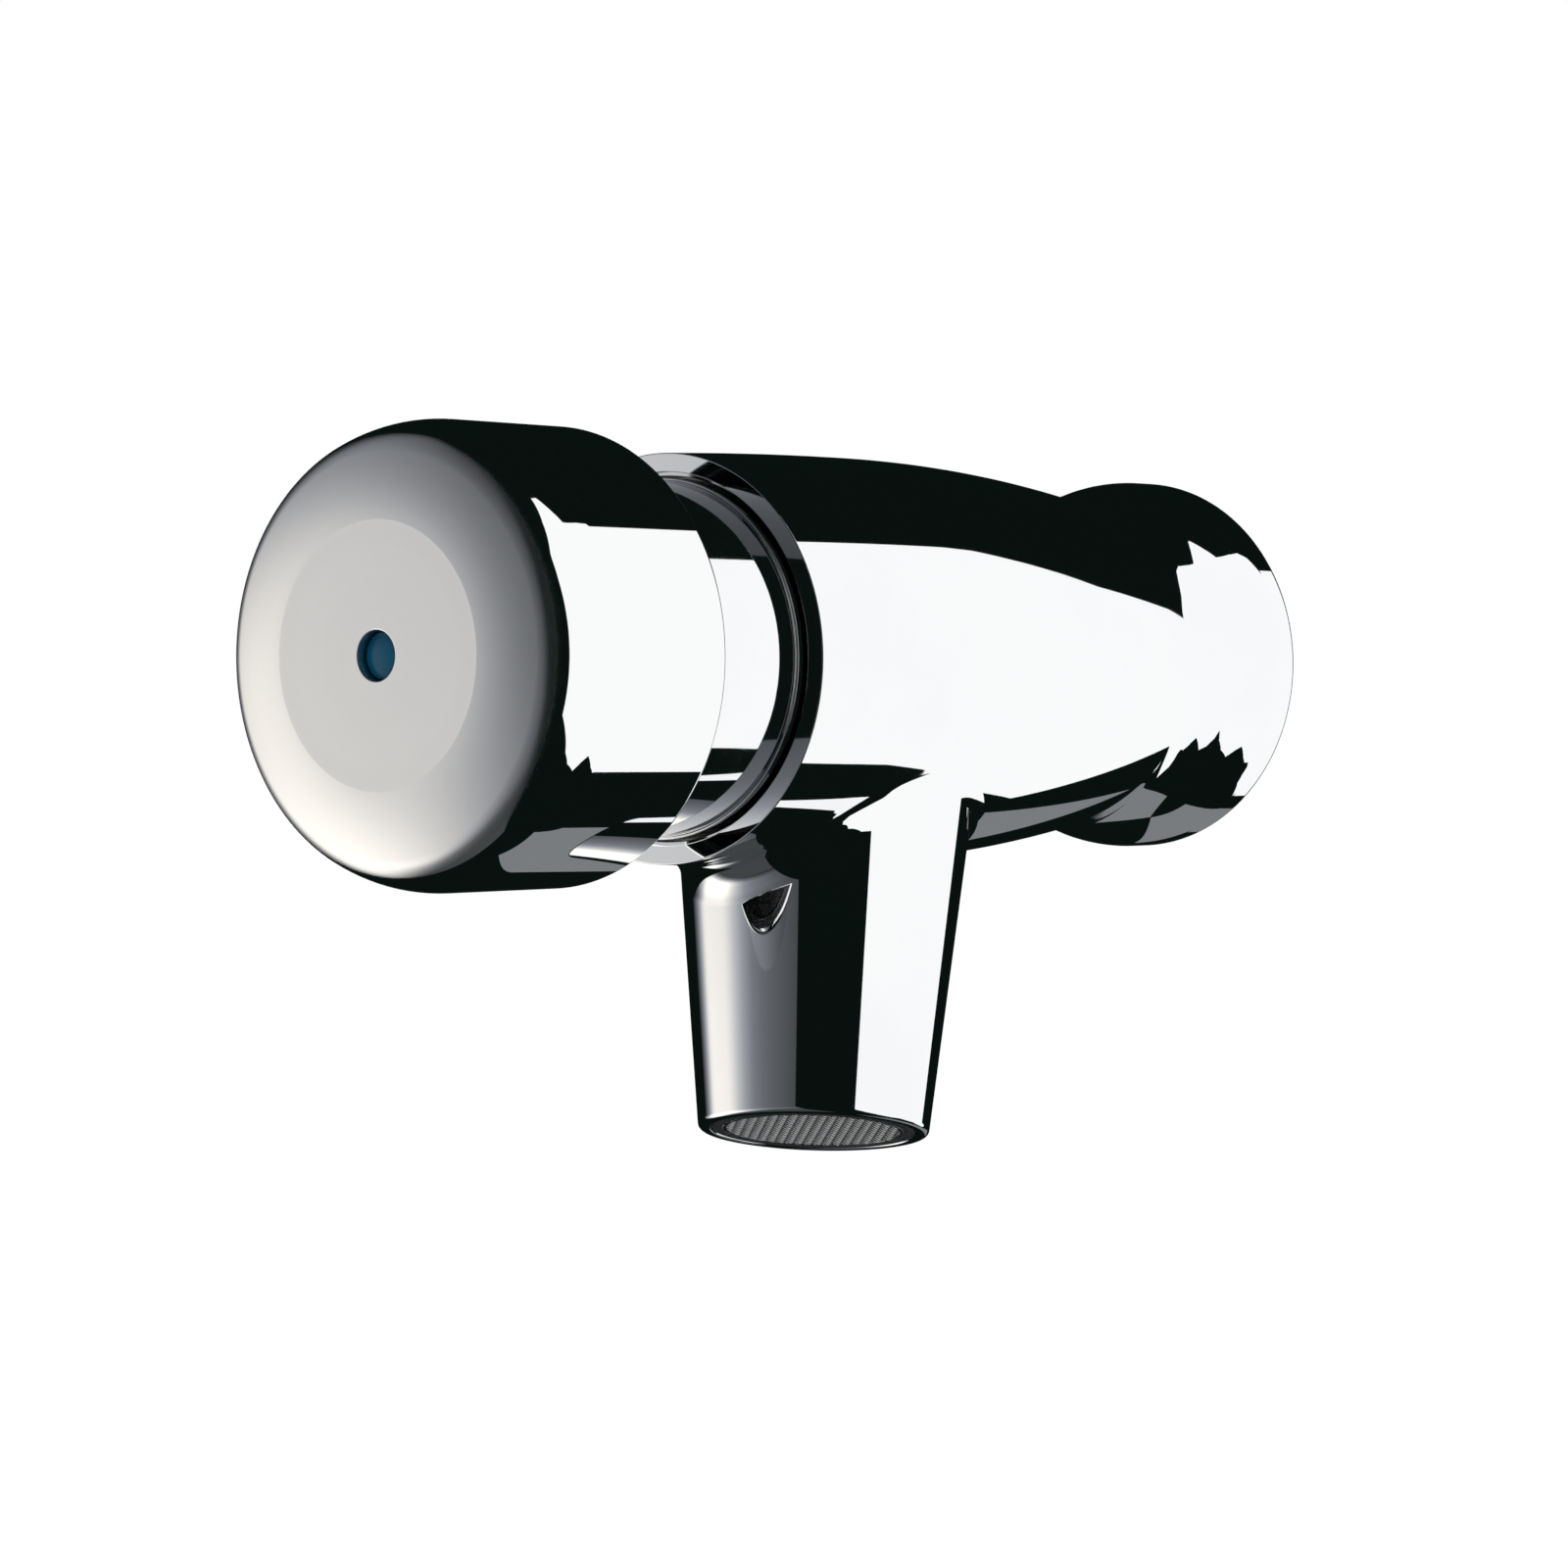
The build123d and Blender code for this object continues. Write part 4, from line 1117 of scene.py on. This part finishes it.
class PUSHTAP_OT_button(Operator):
    """Build the push button and the blue plug in its face"""

    bl_idname = "pushtap.button"
    bl_label = "Push Button"

    def execute(self, context):
        self.add_button(context.scene.tap_button, context.scene.tap_finishes)
        self.add_plug(context.scene.tap_button, context.scene.tap_finishes)
        return {"FINISHED"}

    def add_button(self, size, finishes):
        """Cap with its crown, shoulder and skirt, and the hub that the rod screws into."""
        face, side = size.face_distance, size.radius
        inside = side - size.skirt_wall
        roof = face - size.roof
        hub_rear = roof - size.hub_length
        plug_gap, rod_bore, screw_bore = 0.00005, 0.00305, 0.00155
        well_sink, rod_sink = 0.0001, 0.0016  # behind the roof
        well_edge, hub_corner, hub_edge = 0.00015, 0.0006, 0.0004
        well, well_floor, rod_floor = size.plug_radius + plug_gap, roof - well_sink, roof - rod_sink
        shell = Skin()
        shell.turn(
            Outline(well_floor, well)
            .line(face, well, corner=well_edge)
            .line(face, size.disc_radius)
            .arc(
                face - size.crown_drop, side - size.crown_inset,
                heading=(-sin(size.crown_angle), cos(size.crown_angle)), bits=10,
            )
            .arc(face - size.shoulder_drop, side - size.shoulder_inset, bits=10)
            .arc(face - size.skirt_drop, side, bits=12)
            .line(size.rear_distance, side, corner=size.edge)
            .line(size.rear_distance, side - size.edge)
        )
        shell.turn(
            Outline(size.rear_distance, side - size.edge)
            .line(size.rear_distance, inside, corner=size.edge)
            .line(roof, inside, corner=size.inner_corner)
            .line(roof, size.hub_radius, corner=hub_corner)
            .line(hub_rear, size.hub_radius, corner=hub_edge)
            .line(hub_rear, rod_bore)
            .line(rod_floor, rod_bore)
            .line(rod_floor, screw_bore)
            .line(well_floor, screw_bore)
            .line(well_floor, well),
            slot=INNER,
        )
        # the inner faces take the dull lining, whose dark colour is painted shade
        button = shell.piece("button_shell", [button_chrome(finishes), dull_lining(finishes)])
        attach(button, "button")
        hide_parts("push_button")

    def add_plug(self, size, finishes):
        """Coloured plug with a low dome, sunk in the button's face."""
        front, rear, bevel = size.face_distance - size.plug_recess, -plug_high.y, 0.0002
        dome = Skin()
        dome.turn(
            Outline(front, 0)
            .arc(front - size.plug_dome, size.plug_radius - bevel, heading=(0, 1), bits=12)
            .line(front - size.plug_dome - bevel, size.plug_radius)
            .line(rear, size.plug_radius)
            .line(rear, 0)
        )
        plug = dome.piece("cold_mark", [blue_plug(finishes)])
        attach(plug, "button")
        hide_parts("indicator_plug")


class PUSHTAP_OT_head(Operator):
    """Build the cartridge head, whose collar shows between the body and the button"""

    bl_idname = "pushtap.head"
    bl_label = "Cartridge Head"

    def execute(self, context):
        size, finishes = context.scene.tap_head, context.scene.tap_finishes
        front, rear = size.front_distance, size.rear_distance
        edge, front_edge = size.flange_edge, 0.0003
        shown = Skin()
        shown.turn(
            Outline(front, size.dish_radius)
            .line(front, size.ring_seat_radius, corner=front_edge)
            .line(size.ring_rear, size.ring_seat_radius)
            .line(size.ring_rear, size.collar_radius, corner=front_edge)
            .line(size.flange_front, size.collar_radius, corner=edge)
            .line(size.flange_front, size.flange_radius, corner=edge)
            .line(size.flange_rear, size.flange_radius)
        )
        shown.turn(
            Outline(size.flange_rear, size.flange_radius)
            .line(size.flange_rear, size.thread_radius)
            .line(rear, size.thread_radius)
            .line(rear, size.sleeve_bore)
            .line(size.sleeve_floor, size.sleeve_bore)
            .line(size.sleeve_floor, size.rod_bore)
            .line(size.bush_rear, size.rod_bore)
            .line(size.bush_rear, size.bush_radius)
            .line(size.tower_front, size.bush_radius)
            .line(size.tower_front, size.tower_radius, corner=front_edge)
            .line(size.core_floor, size.tower_radius)
            .line(size.core_floor, size.dish_radius)
            .line(front, size.dish_radius),
            slot=INNER,
        )
        head = shown.piece("head_turning", [turned_chrome(finishes), plated_casting(finishes)])
        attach(head, "body")
        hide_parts("cartridge_head")
        return {"FINISHED"}


class PUSHTAP_OT_outlet(Operator):
    """Build the flow straightener's housing and the wire gauze in the outlet"""

    bl_idname = "pushtap.outlet"
    bl_label = "Flow Straightener"

    def execute(self, context):
        size, finishes = context.scene.tap_spout, context.scene.tap_finishes
        axle, tip = spout_axle(size), size.length - size.housing_recess
        self.add_housing(size, finishes, axle, tip)
        self.add_gauze(size, finishes, axle, tip)
        return {"FINISHED"}

    def add_housing(self, size, finishes, axle, tip):
        """Plain ring that holds the straightener."""
        root, edge = tip - size.housing_length, 0.00015
        middle = (tip + root) / 2
        ring = Skin()
        ring.turn(
            Outline(middle, size.housing_bore)
            .line(tip, size.housing_bore, corner=edge)
            .line(tip, size.housing_radius, corner=edge)
            .line(root, size.housing_radius)
            .line(root, size.housing_bore)
            .line(middle, size.housing_bore),
            axle=axle,
        )
        housing = ring.piece("straightener_ring", [grey_acetal(finishes)])
        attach(housing, "body")
        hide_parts("straightener_housing")

    def add_gauze(self, size, finishes, axle, tip):
        """Round piece of woven wire cloth in its own rim."""
        cloth = Skin()
        level, rise = tip - 2 * size.gauze_wire, size.gauze_wire * GAUZE_RIM_RISE
        outside, inside = size.gauze_radius, size.gauze_radius - GAUZE_RIM
        rows = int(outside / size.gauze_pitch)
        for row in range(-rows, rows + 1):
            half = np.sqrt(outside**2 - (row * size.gauze_pitch) ** 2)
            for crossing in (False, True):
                self.add_wire(cloth, axle, size, row, half, level, crossing)
        cloth.turn(
            Outline(level, inside)
            .line(level + rise, inside, corner=GAUZE_RIM_EDGE)
            .line(level + rise, outside, corner=GAUZE_RIM_EDGE)
            .line(level - rise, outside)
            .line(level - rise, inside)
            .line(level, inside),
            axle=axle,
        )
        gauze = cloth.piece("outlet_gauze", [stainless_steel(finishes)])
        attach(gauze, "body")

    def add_wire(self, skin, axle, size, row, half, level, crossing):
        """Adds one wire of the cloth, which goes over and under those that it crosses."""
        run = np.linspace(-half, half, max(3, int(half / size.gauze_pitch * WIRE_SAMPLES)))
        side = -1 if (row % 2) != crossing else 1
        wave = side * size.gauze_wire * WIRE_SWING
        height = wave * np.cos(pi * run / size.gauze_pitch)
        slope = -wave * pi / size.gauze_pitch * np.sin(pi * run / size.gauze_pitch)
        first, second = (axle.quarter, axle.zero) if crossing else (axle.zero, axle.quarter)
        line = axle.origin + np.outer(run, second) + axle.along * (level + height)[:, None]
        line = line + first * row * size.gauze_pitch
        tangent = second + np.outer(slope, axle.along)
        tangent = tangent / np.linalg.norm(tangent, axis=1, keepdims=True)
        up = np.cross(tangent, first)
        turn = around(WIRE_SIDES)[None, :, None]
        spoke = np.cos(turn) * first + np.sin(turn) * up[:, None, :]
        skin.patch(line[:, None, :] + spoke * size.gauze_wire, spoke)
        for end, facing in ((0, -tangent[0]), (-1, tangent[-1])):
            rim = line[end] + spoke[end] * size.gauze_wire
            centre = np.broadcast_to(line[end], rim.shape)
            skin.patch(np.stack([rim, centre]), facing)


class PUSHTAP_OT_works(Operator):
    """Give the seals, rings, rod, spring, valve and filter their own finishes"""

    bl_idname = "pushtap.works"
    bl_label = "Inner Works"

    def execute(self, context):
        finishes = context.scene.tap_finishes
        dressed = {
            black_acetal: ("skirt_guide_ring", "guide_bush", "piston", "flow_limiter"),
            grey_acetal: ("cartridge_sleeve", "straightener_core"),
            black_rubber: (
                "head_gasket", "rod_seal", "sleeve_o_ring", "piston_lip_seal", "valve_washer",
                "straightener_seal",
            ),
            bare_brass: ("seat_ring", "washer_cup", "washer_nut"),
            stainless_steel: (
                "pusher_rod", "button_screw", "valve_spindle", "timing_pin", "inlet_filter",
            ),
        }
        for finish, names in dressed.items():
            for name in names:
                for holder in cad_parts[name].material_slots:
                    holder.material = finish(finishes)
        self.add_spring(finishes)
        return {"FINISHED"}

    def add_spring(self, finishes):
        """Return spring, copied from the frame's own with a steel finish. The real spring shortens
        from its front end as the button goes in.
        """
        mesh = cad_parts["main_spring"].data.copy()
        mesh.materials.clear()
        mesh.materials.append(stainless_steel(finishes))
        spring = add_object("return_spring", mesh)
        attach(spring, "body")
        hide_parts("main_spring")
        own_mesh(spring)


class PUSHTAP_OT_studio(Operator):
    """Set up the camera, the pale floor, the soft light and the cards that the chrome reflects"""

    bl_idname = "pushtap.studio"
    bl_label = "Studio"

    def execute(self, context):
        studio = context.scene.tap_studio
        self.add_camera(context.scene, studio)
        self.add_world(context.scene, studio)
        self.add_floor(studio)
        self.add_lamp(studio)
        self.add_cards(studio)
        context.scene.view_settings.view_transform = "Standard"
        return {"FINISHED"}

    def add_camera(self, scene, studio):
        """Stands the camera where the photographer's stood."""
        data = bpy.data.cameras.new("camera")
        data.sensor_width = 36
        data.lens = studio.focal_length
        data.clip_start, data.clip_end = 0.01, 100
        camera = add_object("camera", data)
        back = -Vector(studio.camera_forward).normalized()
        right = Vector(studio.camera_up).cross(back).normalized()
        up = back.cross(right)
        turn = Matrix((right, up, back)).transposed()
        camera.matrix_world = Matrix.Translation(studio.camera_place) @ turn.to_4x4()
        scene.camera = camera

    def add_world(self, scene, studio):
        """White for the camera and for reflections, and a plain soft light on everything."""
        world = bpy.data.worlds.new("studio_world")
        scene.world = world
        tree, white = bare_tree(world), (1, 1, 1, 1)
        path = tree.node("ShaderNodeLightPath").outputs
        seen = tree.math("MAXIMUM", path["Is Camera Ray"], path["Is Glossy Ray"])
        seen = tree.math("MAXIMUM", seen, path["Is Transmission Ray"])
        light = {"Color": white, "Strength": studio.world_light}
        soft = tree.node("ShaderNodeBackground", light)
        plain = tree.node("ShaderNodeBackground", {"Color": white, "Strength": 1.0})
        mixed = tree.node("ShaderNodeMixShader", {0: seen, 1: soft.outputs[0], 2: plain.outputs[0]})
        tree.node("ShaderNodeOutputWorld", {"Surface": mixed.outputs[0]})

    def add_floor(self, studio):
        """A pale floor that keeps the tap's soft shadow, and can be looked through from below."""
        half, level = studio.floor_size / 2, studio.floor_height
        mesh = bpy.data.meshes.new("floor")
        corners = ((-half, -half), (half, -half), (half, half), (-half, half))
        mesh.from_pydata([(x, y, level) for x, y in corners], [], [(0, 1, 2, 3)])
        floor = add_object("floor", mesh)
        material = bpy.data.materials.new("pale_floor")
        tree = bare_tree(material)
        path = tree.node("ShaderNodeLightPath").outputs
        matt = tree.node("ShaderNodeBsdfDiffuse", {"Color": opaque(studio.floor_colour)})
        missing = 1 - studio.world_light * FLOOR_RETURN
        lift = tree.math("MULTIPLY", path["Is Camera Ray"], missing)
        glow = tree.node("ShaderNodeEmission", {"Strength": lift})
        lit = tree.node("ShaderNodeAddShader", {0: matt.outputs[0], 1: glow.outputs[0]})
        clear = tree.node("ShaderNodeBsdfTransparent")
        behind = tree.node("ShaderNodeNewGeometry").outputs["Backfacing"]
        shown = tree.node("ShaderNodeMixShader", {0: behind, 1: lit.outputs[0], 2: clear.outputs[0]})
        tree.node("ShaderNodeOutputMaterial", {"Surface": shown.outputs[0]})
        mesh.materials.append(material)
        floor.visible_glossy = False

    def add_lamp(self, studio):
        """One large overhead lamp, which shows in no reflection."""
        data = bpy.data.lights.new("overhead", "AREA")
        data.shape = "DISK"
        data.size = LAMP_WIDTH
        data.energy = studio.lamp_power
        lamp = add_object("overhead", data)
        lamp.location = LAMP_PLACE
        aim = Vector(LAMP_AIM) - lamp.location
        lamp.rotation_euler = aim.to_track_quat("-Z", "Y").to_euler()
        lamp.visible_glossy = False

    def add_cards(self, studio):
        """Black flags, a graded screen and a grey card, seen only in the metal's reflections.

        Their corners are angles in degrees: first to the right of the camera, then above level.
        """
        far, floor_line, zenith = studio.card_distance, -90, 90
        over_white = (
            (38, 16), (47, 32), (60, 50), (72, 61), (79, 60), (84, 46), (100, 42), (112, 38),
            (118, 33), (122, 20), (127, 14), (130, -1), (180, -1),
        )
        under_white = (
            (38, -8), (48, -33), (56, -40), (66, -48), (77, -51.5), (90, -51.5), (94, -46),
            (98, -42), (111, -42), (118, -40.8), (122, -38), (126, -37.7), (130, -39), (136, -39),
            (143, -36), (149, -33), (150, -36), (180, -36),
        )
        beside_white = ((130, -1), (137, -12), (142, -20), (147, -31), (150, -37), (180, -37))
        under_screen = ((SCREEN_BACK, SCREEN_FOOT), (CAMERA_SIDE, SCREEN_FOOT))
        over_screen = ((SCREEN_BACK, SCREEN_TOP), (CAMERA_SIDE, SCREEN_TOP))
        under_camera = ((CAMERA_SIDE, floor_line), (38, floor_line))
        under_wall = ((-180, floor_line), (SCREEN_BACK, floor_line))
        over_grey, grey_foot = ((143, -65), (154, -36), (160, -20), (178, -20)), -65
        spans = (
            ("flag_right_above", over_white, zenith, far, BLACK),
            ("flag_right_below", under_white, floor_line, far, BLACK),
            ("flag_right_beside", beside_white, -1, far, BLACK),
            ("flag_left_above", over_screen, zenith, far, BLACK),
            ("flag_left_below", under_screen, floor_line, far, DIM_GREY),
            ("flag_camera", under_camera, zenith, far, BLACK),
            ("flag_wall", under_wall, zenith, far, BLACK),
            ("screen_left", under_screen, SCREEN_TOP, far, graded_screen),
            ("grey_right", over_grey, grey_foot, far * GREY_NEARER, MID_GREY),
        )
        for span in spans:
            self.add_card(studio, *span)
        self.add_near_flag()

    def card_material(self):
        """Glow of a card, which takes its shade from the card's corners."""
        material = bpy.data.materials.get("card")
        if not material:
            material = bpy.data.materials.new("card")
            tree = bare_tree(material)
            shade = tree.node("ShaderNodeAttribute", attribute_name="shade").outputs["Color"]
            glow = tree.node("ShaderNodeEmission", {"Color": shade, "Strength": 1.0})
            tree.node("ShaderNodeOutputMaterial", {"Surface": glow.outputs[0]})
        return material

    def add_card(self, studio, name, edge, other, distance, shade):
        """Adds a card between an edge of given corners and a level edge above or below it.

        Its shade is one colour, or a function that gives the colour in each direction.
        """
        corners, levels = zip(*edge)
        sides = [corners[0]]
        for first, last in zip(corners, corners[1:]):
            sides += list(np.linspace(first, last, ceil((last - first) / CARD_STEP) + 1)[1:])
        starts = np.interp(sides, corners, levels)
        rise = starts + (other - starts) * np.linspace(0, 1, CARD_ROWS)[:, None]
        side = np.broadcast_to(sides, rise.shape)
        points = direction_of(studio, np.radians(side), np.radians(rise)) * distance
        shades = [
            shade(*angles) if callable(shade) else shade
            for angles in zip(side.ravel(), rise.ravel())
        ]
        self.hang(name, points, shades)

    def add_near_flag(self):
        """Black flag close by, between the tap and the camera."""
        heights = (-NEAR_FLAG_HEIGHT, NEAR_FLAG_HEIGHT)
        points = np.array([[(x, y, z) for x, y in NEAR_FLAG_ENDS] for z in heights])
        self.hang("flag_near", points, [BLACK] * 4)

    def hang(self, name, points, shades):
        """Makes a card from a grid of points and their shades."""
        rows, columns = points.shape[:2]
        faces = [
            (at, at + 1, at + columns + 1, at + columns)
            for at in range((rows - 1) * columns)
            if (at + 1) % columns
        ]
        mesh = bpy.data.meshes.new(name)
        mesh.from_pydata(points.reshape(-1, 3).tolist(), [], faces)
        layer = mesh.color_attributes.new("shade", "FLOAT_COLOR", "POINT")
        for corner, shade in zip(layer.data, shades):
            corner.color = (*shade, 1)
        mesh.materials.append(self.card_material())
        card = add_object(name, mesh)
        card.visible_camera = card.visible_diffuse = card.visible_shadow = False
        card.visible_transmission = card.visible_volume_scatter = False


def direction_of(studio, side, rise):
    """Directions at angles to the right of the camera and above level, seen from the tap."""
    back = -np.array(studio.camera_forward[:2])
    back = np.array((*(back / hypot(*back)), 0))
    right = np.array((-back[1], back[0], 0))
    level = back * np.cos(side)[..., None] + right * np.sin(side)[..., None]
    return level * np.cos(rise)[..., None] + np.array((0, 0, 1)) * np.sin(rise)[..., None]


def graded_screen(side, rise):
    """Shade of the screen on the left: a bright patch at its far side that falls off softly.

    A dim veil runs over its whole height. Near the floor the patch reaches farther back.
    """
    middle, squeeze = -100, 0.55
    if side < middle:
        side = middle + (side - middle) * np.interp(rise, (-30, 0), (squeeze, 1))
    full = np.interp(side, SCREEN_SIDES, SCREEN_LEVELS)
    veil = np.interp(side, VEIL_SIDES, VEIL_LEVELS)
    fall = np.interp(rise, (-49, -36, 6, 28), (0, 1, 1, 0))
    soft_fall = fall * fall * (3 - 2 * fall)
    level = min(veil, full) + max(0, full - veil) * soft_fall
    level = level * np.interp(rise, DUSK_RISES, DUSK_LEVELS)
    coolness = np.interp(level, (0.3, 0.85), (1.0, 0.0))
    tint = np.array(WARM) + (np.array(COOL) - np.array(WARM)) * coolness
    return tuple(level * tint)


class PUSHTAP_PT_panel(Panel):
    """Lists the steps that build the tap and its studio"""

    bl_idname = "PUSHTAP_PT_panel"
    bl_label = "Push Timed Tap"
    bl_space_type = "VIEW_3D"
    bl_region_type = "UI"
    bl_category = "Push Tap"

    def draw(self, context):
        for step in STEPS:
            self.layout.operator(step.bl_idname)
        for holder in HOLDERS:
            box = self.layout.box()
            values = getattr(context.scene, holder)
            for name in values.__annotations__:
                box.prop(values, name)


STEPS = (
    PUSHTAP_OT_body,
    PUSHTAP_OT_button,
    PUSHTAP_OT_head,
    PUSHTAP_OT_outlet,
    PUSHTAP_OT_works,
    PUSHTAP_OT_studio,
)
HOLDERS = {
    "tap_body": BodySizes,
    "tap_spout": SpoutSizes,
    "tap_button": ButtonSizes,
    "tap_head": HeadSizes,
    "tap_finishes": Finishes,
    "tap_studio": Studio,
}


def register():
    """Registers the settings, the steps and the panel."""
    for holder, kind in HOLDERS.items():
        bpy.utils.register_class(kind)
        setattr(bpy.types.Scene, holder, PointerProperty(type=kind))
    for kind in (*STEPS, PUSHTAP_PT_panel):
        bpy.utils.register_class(kind)


def unregister():
    """Takes back what register added."""
    for kind in (PUSHTAP_PT_panel, *reversed(STEPS)):
        bpy.utils.unregister_class(kind)
    for holder, kind in HOLDERS.items():
        delattr(bpy.types.Scene, holder)
        bpy.utils.unregister_class(kind)


def main():
    register()
    bpy.ops.pushtap.body()
    bpy.ops.pushtap.button()
    bpy.ops.pushtap.head()
    bpy.ops.pushtap.outlet()
    bpy.ops.pushtap.works()
    bpy.ops.pushtap.studio()


if __name__ == "__main__":
    main()
